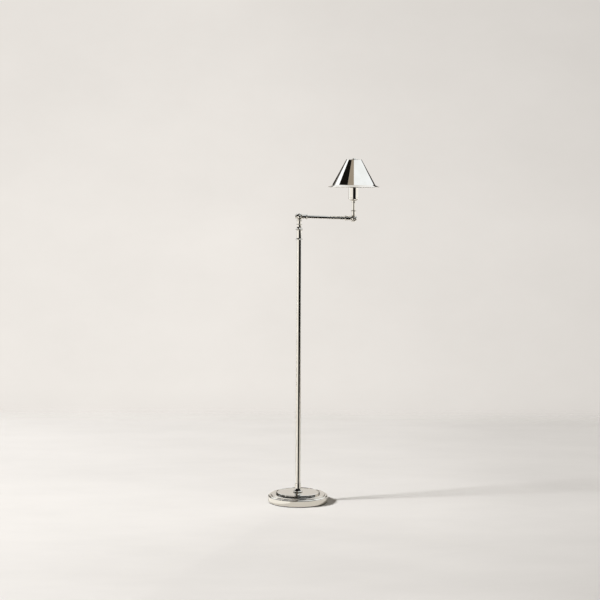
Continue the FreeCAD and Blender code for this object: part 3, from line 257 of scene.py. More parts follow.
def make_iron():
    """Sand-cast iron under a thin black wash, rubbed on its high spots."""
    material, tree, shader = new_finish("cast_iron")
    place = object_place(tree)
    lumps = noise(tree, place, (240.0, 240.0, 240.0), 6.0, 0.65)
    fill(tree, shader, {
        "Metallic": 0.6,
        "Base Color": ramp(tree, lumps, (0.35, 0.035, 0.034, 0.033), (0.75, 0.12, 0.115, 0.11)),
        "Roughness": ramp(tree, lumps, (0.30, 0.78), (0.75, 0.52)),
        "Normal": bump(tree, lumps, 0.7, 0.0006),
    })
    return material


finishes["cast_iron"] = make_iron()
print("finishes so far", list(finishes))

# %% [markdown]
# ## Felt, plastics, fibre, porcelain and glass
# Felt is a mat of short fibres with a soft sheen.  The moulded plastics have a fine even grain, vulcanised
# fibre is mottled, porcelain has a clear glaze over small iron specks, and the bulb's glass is etched
# inside, so it glows softly right to its edge.

# %% Finishes that are not metal
def make_soft_finish(name, dark, light, rough, lump, grain_size, depth, extra=None):
    """Two tones over patches of the lump size, with a fine grain in the bump and the gloss."""
    material, tree, shader = new_finish(name)
    place = object_place(tree)
    patches = noise(tree, place, (lump,) * 3, 4.0)
    grain = noise(tree, place, (grain_size,) * 3, 4.0)
    sockets = {
        "Base Color": ramp(tree, patches, (0.35, *dark), (0.68, *light)),
        "Roughness": ramp(tree, grain, (0.30, rough * 0.85), (0.75, min(rough * 1.15, 1.0))),
        "Normal": bump(tree, grain, 0.4, depth),
    }
    fill(tree, shader, {**sockets, **(extra or {})})
    return material


finishes["felt"] = make_soft_finish("felt", (0.022, 0.022, 0.023), (0.050, 0.050, 0.052), 0.95, 90.0,
                                    2600.0, 0.0004, {"Sheen Weight": 0.5, "Sheen Roughness": 0.6})
finishes["black_plastic"] = make_soft_finish("black_plastic", (0.018, 0.018, 0.018), (0.030, 0.030, 0.029),
                                             0.46, 70.0, 1800.0, 0.00005)
finishes["nylon"] = make_soft_finish("nylon", (0.80, 0.78, 0.72), (0.86, 0.85, 0.80), 0.42, 110.0,
                                     1500.0, 0.00003, {"Subsurface Weight": 0.2,
                                                       "Subsurface Radius": (0.004, 0.003, 0.002)})
finishes["fibre"] = make_soft_finish("fibre", (0.13, 0.030, 0.020), (0.25, 0.070, 0.045), 0.66, 500.0,
                                     1900.0, 0.00006)
finishes["porcelain"] = make_soft_finish("porcelain", (0.82, 0.81, 0.77), (0.88, 0.87, 0.84), 0.34, 60.0,
                                         900.0, 0.00003, {"Coat Weight": 0.9, "Coat Roughness": 0.06})
finishes["frosted_glass"] = make_soft_finish("frosted_glass", (0.86, 0.855, 0.83), (0.92, 0.915, 0.90), 0.38,
                                             40.0, 1300.0, 0.00002,
                                             {"Transmission Weight": 0.25, "IOR": 1.5,
                                              "Subsurface Weight": 0.3,
                                              "Subsurface Radius": (0.010, 0.009, 0.008)})
print("all finishes", list(finishes))

# %% [markdown]
# ## Every solid gets its finish
# The solids that stay as they are take their finish through their own material slot.  Those that a
# smoother piece stands for later are hidden, and keep theirs all the same.

# %% Finish the frame's solids
for name, solid in frame["nodes"].items():
    solid.data.materials.clear()
    solid.data.materials.append(finishes[slot_of[name]])
print(len(frame["nodes"]), "solids finished")

# %% [markdown]
# ## Profile lines
# A turner works from a profile: straight runs, coves and beads.  Here a corner is (radius, height) in
# millimetres, and a third number makes the run that leads to it an arc of that radius, with its centre on
# the left of the way when it is positive.  Real edges are never quite sharp, so each one gets a small
# round, and a mirror shows it as a bright line.

# %% Profile helpers
ARC_STEP = math.radians(9.0)
SHARP_TURN = math.radians(20.0)


def arc_run(start, end, radius):
    """Points after the start on the circle of this radius, up to the end."""
    chord = end - start
    half = np.linalg.norm(chord) / 2
    left = np.array([-chord[1], chord[0]]) / (2 * half)
    side = math.copysign(1.0, radius)
    centre = (start + end) / 2 + left * side * math.sqrt(max(radius * radius - half * half, 0.0))
    first = math.atan2(*(start - centre)[::-1])
    last = math.atan2(*(end - centre)[::-1])
    sweep = (last - first) % (2 * math.pi) if side > 0 else -((first - last) % (2 * math.pi))
    angles = first + sweep * np.linspace(0, 1, max(3, math.ceil(abs(sweep) / ARC_STEP) + 1))[1:]
    return centre + abs(radius) * np.stack([np.cos(angles), np.sin(angles)], axis=1)


def rounded(points, fillet, closed):
    """The line with each sharp turn replaced by a small round, its points on a parabola."""
    kept = []
    count = len(points)
    for index, point in enumerate(points):
        if not closed and index in (0, count - 1):
            kept.append([point])
            continue
        into, out = point - points[index - 1], points[(index + 1) % count] - point
        long_in, long_out = np.linalg.norm(into), np.linalg.norm(out)
        cosine = np.clip(into @ out / (long_in * long_out), -1.0, 1.0)
        if math.acos(cosine) < SHARP_TURN:
            kept.append([point])
            continue
        reach = min(fillet, 0.4 * long_in, 0.4 * long_out)
        t = np.linspace(0, 1, 5)[:, None]
        before, after = point - into / long_in * reach, point + out / long_out * reach
        kept.append((1 - t) ** 2 * before + 2 * t * (1 - t) * point + t ** 2 * after)
    return np.concatenate(kept)


def held(points, closed, hold=0.25):
    """The line with a point close to each end of every long run, so that flat runs shade flat."""
    ends = np.roll(points, -1, axis=0) if closed else np.vstack([points[1:], points[-1:]])
    runs = []
    for start, end in zip(points, ends):
        length = np.linalg.norm(end - start)
        runs.append([start])
        if length > 6 * hold:
            runs.append([start + (end - start) * hold / length, end + (start - end) * hold / length])
    return np.concatenate(runs)


def profile(corners, fillet=0.25):
    """Closed line, or one from pole to pole where it starts and ends on the axis, in metres."""
    points = np.array([corner[:2] for corner in corners], float)
    closed = not (points[0, 0] == 0.0 and points[-1, 0] == 0.0)
    runs = [points[:1]] if not closed or len(corners[0]) == 2 else []
    for index in range(1, len(corners)):
        if len(corners[index]) == 3:
            runs.append(arc_run(points[index - 1], points[index], corners[index][2]))
        else:
            runs.append(points[index:index + 1])
    return held(rounded(np.concatenate(runs), fillet, closed), closed) * MM, closed


# %% [markdown]
# ## From a profile to a mesh
# Turning a profile is one formula for the whole grid: the point at step i of the profile and angle a is
# (radius cos a, radius sin a, height).  Points on the axis are merged into one, so that poles are closed,
# and the faces' direction is set from the sign of the volume that they enclose.

# %% Mesh helpers
def turn(line, steps=96):
    """Grid of points: (radius_i cos a_j, radius_i sin a_j, height_i) for the angles a_j of a full turn."""
    angles = np.linspace(0, 2 * math.pi, steps, endpoint=False)
    radius, height = line[:, :1], line[:, 1:]
    return np.stack([radius * np.cos(angles), radius * np.sin(angles),
                     np.broadcast_to(height, (len(line), steps))], axis=-1)


def grid_faces(rows, columns, rows_close, columns_close=True):
    """Quads between neighbours of a grid, closed round in one or both ways."""
    i = np.arange(rows if rows_close else rows - 1)[:, None]
    j = np.arange(columns if columns_close else columns - 1)[None, :]
    below, above = i % rows * columns, (i + 1) % rows * columns
    right = (j + 1) % columns
    return np.stack([below + j, below + right, above + right, above + j], axis=-1).reshape(-1, 4)


def welded(points, faces):
    """Points that coincide made one, and quads that collapse made triangles."""
    _, first, back = np.unique(np.round(points, 8), axis=0, return_index=True, return_inverse=True)
    faces = back.reshape(-1)[faces]
    distinct = np.ones(faces.shape, bool)
    distinct[:, 1:] = faces[:, 1:] != faces[:, :-1]
    distinct[:, 0] = faces[:, 0] != faces[:, -1]
    count = distinct.sum(axis=1)
    quads = faces[count == 4].tolist()
    triangles = faces[count == 3][distinct[count == 3]].reshape(-1, 3).tolist()
    return points[first], quads + triangles


def outward(points, faces):
    """The faces, turned over when the volume that they enclose comes out negative."""
    fans = np.array([[f[0], f[k], f[k + 1]] for f in faces for k in range(1, len(f) - 1)])
    a, b, c = points[fans[:, 0]], points[fans[:, 1]], points[fans[:, 2]]
    volume = np.einsum("ij,ij->i", a, np.cross(b, c)).sum()
    return faces if volume > 0 else [face[::-1] for face in faces]


def turned(corners, steps=96, fillet=0.25):
    """Closed shell of a turned piece on its lathe: its points and faces."""
    line, closed = profile(corners, fillet)
    grid = turn(line, steps)
    points, faces = welded(grid.reshape(-1, 3), grid_faces(len(line), steps, closed))
    return points, outward(points, faces)


# %% [markdown]
# ## Setting a piece in place
# A piece is made on its own lathe axis and then set in the lamp: upright, along the arm, or pointing to
# the front or the back.  Its place goes into its mesh, and its object stays at the origin.

# %% Placing and keeping pieces
def axes_towards(way, side=(0.0, 1.0, 0.0)):
    """Rotation whose third axis points the way and whose second lies as near the side as it can."""
    third = np.array(way, float) / np.linalg.norm(way)
    first = np.cross(side, third)
    first /= np.linalg.norm(first)
    return np.stack([first, np.cross(third, first), third], axis=1)


UPRIGHT = np.eye(3)
TO_FRONT = axes_towards((0, -1, 0), (0, 0, 1))
TO_BACK = axes_towards((0, 1, 0), (0, 0, 1))
ALONG_ARM = axes_towards(arm_way)
BACK_ALONG_ARM = axes_towards(-arm_way)
SHARP_EDGE = math.radians(38.0)
triangle_total = 0


def keep(name, node, shells, origin=(0, 0, 0), axes=UPRIGHT, finish=None):
    """Make one object of the shells, set it in place and let it stand for its solid."""
    global triangle_total
    offset = 0
    points, faces = [], []
    for shell_points, shell_faces in shells:
        points.append(shell_points)
        faces += [[index + offset for index in face] for face in shell_faces]
        offset += len(shell_points)
    local = np.concatenate(points)
    mesh = bpy.data.meshes.new(name)
    mesh.from_pydata((local @ axes.T + np.array(origin)).tolist(), [], faces)
    mesh.attributes.new("turning", "FLOAT_VECTOR", "POINT").data.foreach_set("vector", local.ravel())
    mesh.shade_smooth()
    mesh.set_sharp_from_angle(angle=SHARP_EDGE)
    mesh.materials.append(finish or finishes[slot_of[node]])
    piece = bpy.data.objects.new(name, mesh)
    bpy.context.scene.collection.objects.link(piece)
    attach(piece, body_of[node])
    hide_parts(node)
    triangle_total += sum(len(face) - 2 for face in faces)
    print(name, len(faces), "faces")
    return piece


def foot_of(node):
    """Point on the pole's axis at the solid's lowest height."""
    return np.array([0.0, 0.0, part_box(node)[0].z])


def head_foot(node):
    """Point on the shade's axis at the solid's lowest height."""
    return np.array([head[0], head[1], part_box(node)[0].z])


# %% [markdown]
# ## The stepped base
# The base is a shell spun over a wooden form: a straight wall with a full shoulder, a broad low tread, a
# second step and a flat top with a raised bead round it.  One profile walks up the outside and comes back
# along the inside.  The wall ends a little above the floor, and a dark line shows under it.  The hole for
# the lead's bushing is in the back wall, cut with a boolean because it breaks the roundness.

# %% Base cover
base_radius = (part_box("base_cover")[1].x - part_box("base_cover")[0].x) / 2 / MM
SHEET = 1.5
RIM_HEIGHT = 3.0
base_corners = [
    (base_radius - SHEET, RIM_HEIGHT), (base_radius, RIM_HEIGHT), (base_radius, 23.0), (110.0, 27.5, 4.5),
    (104.0, 28.6), (104.0, 31.4), (102.8, 32.6, 1.2), (84.0, 33.2), (84.0, 38.0), (80.0, 38.0, 2.0111),
    (4.9, 38.0), (4.9, 36.5), (81.3, 36.5), (82.5, 35.3, -1.2), (82.5, 31.7), (101.3, 31.1),
    (102.5, 29.9, -1.2), (102.5, 27.1), (108.5, 26.0), (113.0, 21.5, -4.5),
]


HOLE_RADIUS = 5.55
DRILL_LENGTH = 30.0


def cut_round_hole(piece, middle, radius, length):
    """Take a round hole along Y out of the piece, and leave no helper behind."""
    ring = turned([(0, -length / 2), (radius, -length / 2), (radius, length / 2), (0, length / 2)], 48, 0.0)
    drill_mesh = bpy.data.meshes.new("drill")
    drill_mesh.from_pydata((ring[0] @ TO_BACK.T + np.array(middle)).tolist(), [], ring[1])
    drill = bpy.data.objects.new("drill", drill_mesh)
    bpy.context.scene.collection.objects.link(drill)
    cut = piece.modifiers.new("cut", "BOOLEAN")
    cut.operation = "DIFFERENCE"
    cut.object = drill
    shape = bpy.data.meshes.new_from_object(piece.evaluated_get(bpy.context.evaluated_depsgraph_get()))
    piece.modifiers.clear()
    piece.data = shape
    bpy.data.objects.remove(drill)


base_cover = keep("base_cover_spun", "base_cover", [turned(base_corners, 192, 0.5)])
bushing_low, bushing_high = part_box("lead_bushing")
lead_height = (bushing_low.z + bushing_high.z) / 2
cut_round_hole(base_cover, (0.0, bushing_high.y, lead_height), HOLE_RADIUS, DRILL_LENGTH)
print("base cover with its hole", len(base_cover.data.polygons), "faces")

# %% [markdown]
# ## The bushing in the back wall
# A lead needs a smooth way out of a sheet-metal wall, so a flanged plastic bushing sits in the hole.  It
# is a small turned ring, laid on its side.

# %% Lead bushing
BUSHING_LENGTH = (bushing_high.y - bushing_low.y) / MM
BUSHING_REST = 1.4
keep("lead_bushing_moulded", "lead_bushing", [turned([
    (3.5, 0), (6.5, 0), (6.5, BUSHING_REST), (5.5, BUSHING_REST), (5.5, BUSHING_LENGTH - 1.4),
    (7.2, BUSHING_LENGTH - 1.4), (7.2, BUSHING_LENGTH - 0.7), (6.5, BUSHING_LENGTH, 0.7),
    (3.5, BUSHING_LENGTH)], 64)], (0.0, bushing_low.y, lead_height), TO_BACK)

# %% [markdown]
# ## The pole's foot
# A turned ferrule hides the joint between pole and base: a half-round bead, a cove and a plain neck.

# %% Foot ferrule
keep("foot_ferrule_turned", "foot_ferrule", [turned([
    (4.9, 0), (14.9, 0), (17.5, 2.6, 2.6), (14.9, 5.2, 2.6), (14.2, 5.2), (11.9, 19.0, -30.0),
    (11.0, 33.2), (10.2, 34.0, 0.8), (9.55, 34.0), (9.55, 20.0), (4.9, 20.0)])], foot_of("foot_ferrule"))

# %% [markdown]
# ## Plain tubes
# The pole, the riser in it, the bridge arm, the stem and the holder's cover are drawn tube.  Their
# lengths come from the solids, so one loop makes them all, each with a small round at its cut ends.

# %% Tubes
ARM_START = 22.0
arm_length = np.linalg.norm(head - elbow) / MM
TUBES = [
    ("pole", 8.0, 9.5, None, None),
    ("riser_tube", 5.35, 6.35, None, None),
    ("arm_tube", 5.0, 6.0, elbow + arm_way * ARM_START * MM, arm_length - 2 * ARM_START),
    ("stem_tube", 5.0, 6.0, None, None),
    ("holder_cover", 18.4, 19.3, None, None),
]
for node, inner, outer, origin, length in TUBES:
    low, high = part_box(node)
    if origin is None:
        origin = np.array([(low.x + high.x) / 2, 0.0, low.z])
        length = (high.z - low.z) / MM
    corners = [(inner, 0), (outer, 0), (outer, length), (inner, length)]
    keep(node + "_drawn", node, [turned(corners)], origin, ALONG_ARM if node == "arm_tube" else UPRIGHT)
print("tubes", [row[0] for row in TUBES])

# %% [markdown]
# ## The twist collar
# Turning the collar squeezes a split ring on the riser.  It has a flared foot, a slim grip and a ring on
# top that catches the light.

# %% Lock collar
keep("lock_collar_turned", "lock_collar", [turned([
    (8.65, 0), (12.4, 0), (13.5, 1.1, 1.1), (12.4, 2.2, 1.1), (10.4, 6.8, -9.2), (10.4, 35.5),
    (12.4, 36.6), (13.5, 37.9, 1.575), (12.4, 39.2, 1.575), (6.65, 39.2), (6.65, 35.8), (8.65, 35.8)])],
    foot_of("lock_collar"))

# %% [markdown]
# ## The neck
# The neck turns on the riser: a bell foot, a waist, a bead, a waist again and a small collar that the
# ball sits on.

# %% Neck
keep("neck_turned", "neck", [turned([
    (6.65, 0), (12.5, 0), (13.5, 1.0, 1.0), (12.5, 2.0, 1.0), (8.7, 12.4, -12.4), (8.7, 15.9),
    (10.3, 18.4, 3.0), (8.7, 20.9, 3.0), (8.7, 30.4), (9.2, 32.0, -35.2), (10.8, 33.6, 1.6),
    (10.8, 34.4), (10.0, 35.2, 0.8), (6.95, 35.2), (6.95, 16.7), (5.05, 16.7), (5.05, 2.3), (6.65, 2.3)])],
    foot_of("neck"))

# %% [markdown]
# ## The ball elbows
# Each elbow is a hollow ball in two halves that turn against each other, with a pivot screw through both.
# A half ball is a turned shell laid on its side; the shank that leaves it is turned too, but its lower
# face follows the other half's ball where it would run into it.

# %% Ball halves
BALL = 13.7
CAVITY = 8.4
SPLIT = 0.6
FLAT = 9.8
CLEAR = 14.0
SHANK_FOOT = 9.6
half_ball = [
    (3.05, SPLIT), (5.5, SPLIT), (5.5, math.sqrt(CAVITY ** 2 - 5.5 ** 2)),
    (math.sqrt(CAVITY ** 2 - SPLIT ** 2), SPLIT, -CAVITY), (math.sqrt(BALL ** 2 - SPLIT ** 2), SPLIT),
    (math.sqrt(BALL ** 2 - FLAT ** 2), FLAT, BALL), (3.05, FLAT),
]


def shank(steps=96):
    """Shank on +Z with its own half on +Y.

    Each row is a circle of one radius; the lower rows take their height from the ball that they clear:
    height = square root of (clear radius squared - radius squared) on the other half's side.
    """
    line = np.array([(3.2, 22.0), (6.9, 22.0), (6.9, CLEAR), (8.0, CLEAR), (8.0, 0), (6.4, 0), (4.8, 0),
                     (3.2, 0)])
    grid = turn(line, steps)
    across = grid[4:, :, 1]
    cleared = np.sqrt(CLEAR ** 2 - line[4:, :1] ** 2)
    grid[4:, :, 2] = np.where(across > SPLIT, SHANK_FOOT, cleared)
    points, faces = welded(grid.reshape(-1, 3) * MM, grid_faces(len(line), steps, True))
    return points, outward(points, faces)


def ball_half(node, middle, way, front):
    """Half ball and shank as one piece; the shank points the way, the half faces front or back."""
    side = (0.0, -1.0, 0.0) if front else (0.0, 1.0, 0.0)
    axes = axes_towards(way, side)
    shell_points, shell_faces = turned(half_ball)
    lying = axes.T @ (TO_FRONT if front else TO_BACK)
    keep(node + "_cast", node, [(shell_points @ lying.T, shell_faces), shank()], middle, axes)


ball_half("neck_ball_half", elbow, (0, 0, -1), False)
ball_half("arm_left_ball_half", elbow, arm_way, True)
ball_half("arm_right_ball_half", head, -arm_way, False)
ball_half("head_ball_half", head, (0, 0, 1), True)

# %% [markdown]
# ## Pivot screws, cap nuts and the end button
# A domed screw head closes the front of each ball, standing on a spring washer in the middle of the flat.
# It is all one turned profile: a stem, a short cylinder and a dome whose radius comes from its rise.

# %% Screws, nuts and button
HEAD_RADIUS = 7.4
HEAD_EDGE = 1.0
HEAD_RISE = 3.6
head_ball = (HEAD_RADIUS ** 2 + HEAD_RISE ** 2) / (2 * HEAD_RISE)

for side, middle in (("left", elbow), ("right", head)):
    screw_low, screw_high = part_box(side + "_pivot_screw")
    foot, tip = -screw_high.y / MM, -screw_low.y / MM
    seat, edge = tip - HEAD_RISE - HEAD_EDGE, tip - HEAD_RISE
    keep(side + "_pivot_screw_turned", side + "_pivot_screw", [turned([
        (0, foot), (3.0, foot), (3.0, seat), (HEAD_RADIUS, seat), (HEAD_RADIUS, edge), (0, tip, head_ball)],
        fillet=0.3)], middle, TO_FRONT)
    keep(side + "_cap_nut_turned", side + "_cap_nut", [turned([
        (3.05, 0), (6.6, 0), (6.6, 1.6), (0, 3.2, 14.4125), (0, 1.9), (3.05, 1.9)])],
        middle + np.array([0, FLAT * MM, 0]), TO_BACK)

PIN_OFFSET = 4.6
button = turned([(0, 0), (8.3, 0), (8.3, 0.85), (7.45, 1.7, 0.85), (0, 1.7)])
button_pin = turned([(0, -3.2), (2.6, -3.2), (2.6, 0.2), (0, 0.2)], 48)
button_pin = (button_pin[0] + np.array([0, PIN_OFFSET * MM, 0]), button_pin[1])
keep("end_button_turned", "end_button", [button, button_pin], elbow - np.array([CLEAR * MM, 0, 0]),
     axes_towards((-1, 0, 0)))

# %% [markdown]
# ## Beaded ferrules
# Where a tube leaves a ball, a short ferrule with a raised bead covers the thread.  The three differ only
# in length and in the way that they point.

# %% Ferrules
HALF_BEAD = 2.3


def ferrule(node, length, origin, axes):
    """Plain sleeve with a half-round bead at its far end."""
    keep(node + "_turned", node, [turned([
        (6.95, 0), (8.0, 0), (8.0, length - 2 * HALF_BEAD), (9.15, length - 2 * HALF_BEAD),
        (9.15, length, 2.76), (6.05, length), (6.05, 8.0), (6.95, 8.0)])], origin, axes)


LEFT_FERRULE = 28.5 + HALF_BEAD - CLEAR
RIGHT_FERRULE = 30.5 + HALF_BEAD - CLEAR
ferrule("left_arm_ferrule", LEFT_FERRULE, elbow + arm_way * CLEAR * MM, ALONG_ARM)
ferrule("right_arm_ferrule", RIGHT_FERRULE, head - arm_way * CLEAR * MM, BACK_ALONG_ARM)
ferrule("stem_ferrule", LEFT_FERRULE, head + np.array([0, 0, CLEAR * MM]), UPRIGHT)

# %% [markdown]
# ## The lamp holder
# A turned bowl carries the plain cover tube.  Inside are the porcelain body, the threaded shell that the
# bulb screws into and the black skirt round it.

# %% Holder
keep("holder_cup_turned", "holder_cup", [turned([
    (4.9, 0), (7.1, 0), (8.5, 1.4, 1.4), (8.5, 7.5), (18.6, 14.0, 18.0), (20.0, 14.0), (20.0, 19.7),
    (19.7, 20.0), (19.35, 20.0), (19.35, 17.0), (15.8, 17.0), (9.9, 8.9, -18.0), (4.9, 8.9)])],
    head_foot("holder_cup"))
keep("holder_skirt_moulded", "holder_skirt", [turned([
    (15.4, 0), (17.2, 0), (17.2, 44.0), (15.4, 44.0)], 96, 0.6)], head_foot("holder_skirt"))
keep("insulator_glazed", "insulator", [turned([
    (4.9, 0), (11.5, 0), (15.6, 6.0), (15.6, 24.0), (17.2, 24.0), (17.2, 27.4), (15.35, 27.4), (15.35, 32.0),
    (0, 32.0), (0, 7.0), (4.9, 7.0)], 96, 0.6)], head_foot("insulator"))


def threaded(inner, outer, low, high, pitch, wave, rows, steps=96):
    """Thin rolled shell: both walls follow radius + wave cos(2 pi height / pitch - angle)."""
    up = np.concatenate([np.linspace(low, high, rows), np.linspace(high, low, rows)])
    line = np.stack([np.where(np.arange(2 * rows) < rows, outer - wave, inner + wave), up], axis=1)
    grid = turn(line, steps)
    angle = np.linspace(0, 2 * math.pi, steps, endpoint=False)
    fade = np.clip(np.minimum(up - low, high - up) / pitch, 0, 1)[:, None]
    radius = line[:, :1] + wave * fade * np.cos(2 * math.pi * up[:, None] / pitch - angle)
    grid[..., 0], grid[..., 1] = radius * np.cos(angle), radius * np.sin(angle)
    points, faces = welded(grid.reshape(-1, 3) * MM, grid_faces(2 * rows, steps, True))
    return points, outward(points, faces)


keep("screw_shell_rolled", "screw_shell", [threaded(13.5, 14.0, 0, 27.0, 3.63, 0.2, 60)],
     head_foot("screw_shell"))

# %% [markdown]
# ## The bulb
# A round frosted bulb fits the size of the shade.  Its cap is rolled with the same thread as the shell.

# %% Bulb
bulb_cap_wall = threaded(12.55, 13.0, 7.7, 27.2, 3.63, 0.2, 48)
bulb_cap_end = turned([(0, 0), (4.5, 0), (4.5, 3.2), (12.8, 7.6), (12.8, 8.2), (0, 8.2)], 96)
keep("bulb_cap_rolled", "bulb_cap", [bulb_cap_wall, bulb_cap_end], head_foot("bulb_cap"))
keep("bulb_glass_blown", "bulb_glass", [turned([
    (11.3, 0), (12.2, 0), (12.2, 6.0), (17.35, 25.67), (0, 62.5, 22.5), (0, 61.6),
    (16.45, 26.0, -21.6), (11.3, 6.0)], 128)], head_foot("bulb_glass"))

# %% [markdown]
# ## What carries the shade
# A ring on the holder, held by a ring nut, bears a wire arch over the bulb, and the arch's hub has the
# stud for spider and finial.  The wire is a circle carried along a path: each point of the path gets a
# circle across the direction of travel.

# %% Shade carrier, ring nut and spider
def swept(path, radius, steps=20):
    """Round wire along a path that lies in the XZ plane, with flat ends.

    The point at step i and angle a is path_i + radius (cos a times the normal + sin a times +Y), where
    the normal is the path's direction turned a quarter in its plane.
    """
    way = np.gradient(path, axis=0)
    way /= np.linalg.norm(way, axis=1, keepdims=True)
    normal = np.stack([-way[:, 2], np.zeros(len(path)), way[:, 0]], axis=1)
    angle = np.linspace(0, 2 * math.pi, steps, endpoint=False)
    sizes = np.full(len(path), radius)
    sizes[[0, -1]] = 0.0
    ring = (np.cos(angle)[None, :, None] * normal[:, None, :]
            + np.sin(angle)[None, :, None] * np.array([0.0, 1.0, 0.0]))
    grid = path[:, None, :] + sizes[:, None, None] * ring
    points, faces = welded(grid.reshape(-1, 3), grid_faces(len(path), steps, False))
    return points, outward(points, faces)


ARCH = 27.0
carrier_low, carrier_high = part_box("shade_carrier")
STUD_TOP = (carrier_high.z - carrier_low.z) / MM
STUD_LENGTH = 7.6
WIRE_RADIUS = 1.4
HUB_TOP = STUD_TOP - STUD_LENGTH
SPRING = HUB_TOP - 2.0 - ARCH
bend = np.linspace(0, math.pi, 49)
arch_path = np.concatenate([
    [[ARCH, 0, 0.7], [ARCH, 0, 0.7], [ARCH, 0, SPRING / 2]],
    np.stack([ARCH * np.cos(bend), 0 * bend, SPRING + ARCH * np.sin(bend)], axis=1),
    [[-ARCH, 0, SPRING / 2], [-ARCH, 0, 0.7], [-ARCH, 0, 0.7]],
])
arch_path[0, 2] -= 0.01
arch_path[-1, 2] -= 0.01
carrier_ring = turned([(17.25, 0), (28.6, 0), (28.6, 1.4), (17.25, 1.4)], 96, 0.3)
carrier_hub = turned([(0, HUB_TOP - 4.0), (5.0, HUB_TOP - 4.0), (5.0, HUB_TOP), (3.1, HUB_TOP),
                      (3.1, STUD_TOP), (0, STUD_TOP)], 64, 0.4)
carrier_arch = swept(arch_path * MM, WIRE_RADIUS * MM)
keep("shade_carrier_formed", "shade_carrier", [carrier_ring, carrier_arch, carrier_hub],
     head_foot("shade_carrier"))

RIBS = 40
RIB_DEPTH = 0.012
ring_nut_line, ring_nut_closed = profile([(17.25, 0), (21.5, 0), (21.5, 4.0), (17.25, 4.0)], 0.5)
ring_nut_grid = turn(ring_nut_line, RIBS * 8)
rib = 1 - RIB_DEPTH * (0.5 - 0.5 * np.cos(RIBS * np.linspace(0, 2 * math.pi, RIBS * 8, endpoint=False)))
ring_nut_grid[ring_nut_line[:, 0] > 20.5 * MM, :, :2] *= rib[None, :, None]
ring_nut_points, ring_nut_faces = welded(ring_nut_grid.reshape(-1, 3),
                                         grid_faces(len(ring_nut_line), RIBS * 8, ring_nut_closed))
ring_nut = (ring_nut_points, outward(ring_nut_points, ring_nut_faces))
keep("carrier_ring_nut_ribbed", "carrier_ring_nut", [ring_nut], head_foot("carrier_ring_nut"))

spider_low, spider_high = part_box("spider")
SPIDER_OUTER = (spider_high.y - spider_low.y) / 2 / MM
spider_ring = turned([(SPIDER_OUTER - 3.0, 0), (SPIDER_OUTER, 0), (SPIDER_OUTER, 1.6),
                      (SPIDER_OUTER - 3.0, 1.6)], 96, 0.3)
spider_hub = turned([(3.15, 0), (8.0, 0), (8.0, 1.6), (3.15, 1.6)], 64, 0.3)


def spoke(angle):
    """Flat arm with softened edges: a rounded rectangle carried out from the hub to the ring."""
    section = held(rounded(np.array([(-2.5, 0.05), (2.5, 0.05), (2.5, 1.55), (-2.5, 1.55)]), 0.3, True), True)
    along = np.array([5.5, 5.5, SPIDER_OUTER - 1.5, SPIDER_OUTER - 1.5])
    fat = np.array([0.0, 1.0, 1.0, 0.0])[:, None]
    middle = np.array([0.0, 0.8])
    sections = middle + fat[:, :, None] * (section - middle)[None]
    grid = np.stack([np.broadcast_to(along[:, None], sections.shape[:2]), sections[..., 0],
                     sections[..., 1]], axis=-1)
    c, s = math.cos(angle), math.sin(angle)
    grid = grid @ np.array([[c, s, 0], [-s, c, 0], [0, 0, 1]])
    points, faces = welded(grid.reshape(-1, 3) * MM, grid_faces(4, len(section), False))
    return points, outward(points, faces)


keep("spider_pressed", "spider",
     [spider_ring, spider_hub] + [spoke(math.radians(turn_degrees)) for turn_degrees in (0, 120, 240)],
     head_foot("spider"))

# %% [markdown]
# ## The finial
# A small domed cap screws on the stud and holds the shade down.

# %% Finial
keep("finial_turned", "finial", [turned([
    (3.15, 0), (8.0, 0), (8.0, 1.6), (0, 8.8, 8.0444), (0, 6.3), (3.15, 6.3)])], head_foot("finial"))

# %% [markdown]
# ## The shade
# The shade is spun from thin sheet: a straight cone, a crisp turn outwards into a shallow brim and a
# rolled bead round each edge.  Profile and count of steps are finer here, because a mirror this large
# would show every facet.  The inside faces take the white enamel.

# %% Shade
shade_corners = [
    (94.41, 1.43), (95.7, 0.0, 1.3), (97.0, 1.3, 1.3), (94.88, 2.31, 1.3), (81.5, 9.0), (29.41, 103.285),
    (29.6, 103.9, 1.1), (28.5, 105.0, 1.1), (27.4, 103.9, 1.1), (28.54, 102.80, 1.1), (80.5, 8.55),
]
shade = keep("shade_spun", "shade", [turned(shade_corners, 256, 0.8)], head_foot("shade"))
shade.data.materials.append(enamel)
face_middles = np.zeros(len(shade.data.polygons) * 3)
shade.data.polygons.foreach_get("center", face_middles)
face_middles = face_middles.reshape(-1, 3) - head_foot("shade")
distance = np.hypot(face_middles[:, 0], face_middles[:, 1]) / MM
height = face_middles[:, 2] / MM
(lip_radius, lip_height), (top_radius, top_height), (bend_radius, bend_height) = (
    corner[:2] for corner in (shade_corners[0], *shade_corners[-2:]))
cone_inner = np.interp(height, [bend_height, top_height], [bend_radius, top_radius])
brim_inner = np.interp(height, [lip_height, bend_height], [lip_radius, bend_radius])
inside = np.where(height > bend_height, distance < cone_inner + 0.5, distance < brim_inner + 0.3)
inside &= (height > 1.6) & (height < 102.6)
shade.data.polygons.foreach_set("material_index", inside.astype(np.int32))
shade.data.update()
print("shade", len(shade.data.polygons), "faces,", int(inside.sum()), "of them inside")

# %% [markdown]
# ## Floor
# The lamp stands on a pale plastered floor with a wall behind it.  Near the lamp the floor is an
# ordinary surface that takes the shadow.  Further back it turns clear, and the wall's tone, which is painted
# on the sky, shows through it, so floor and wall meet without an edge.

# %% Floor
WALL_TONE = (0.80, 0.762, 0.718)
CLEAR_FROM, CLEAR_TO = 1.75, 2.4
FLOOR_SHADES = [
    # axis, where the shade starts and is full, the share of light left
    ("Y", 0.0, -1.3, 0.91),
    ("X", 0.4, 1.1, 0.91),
]


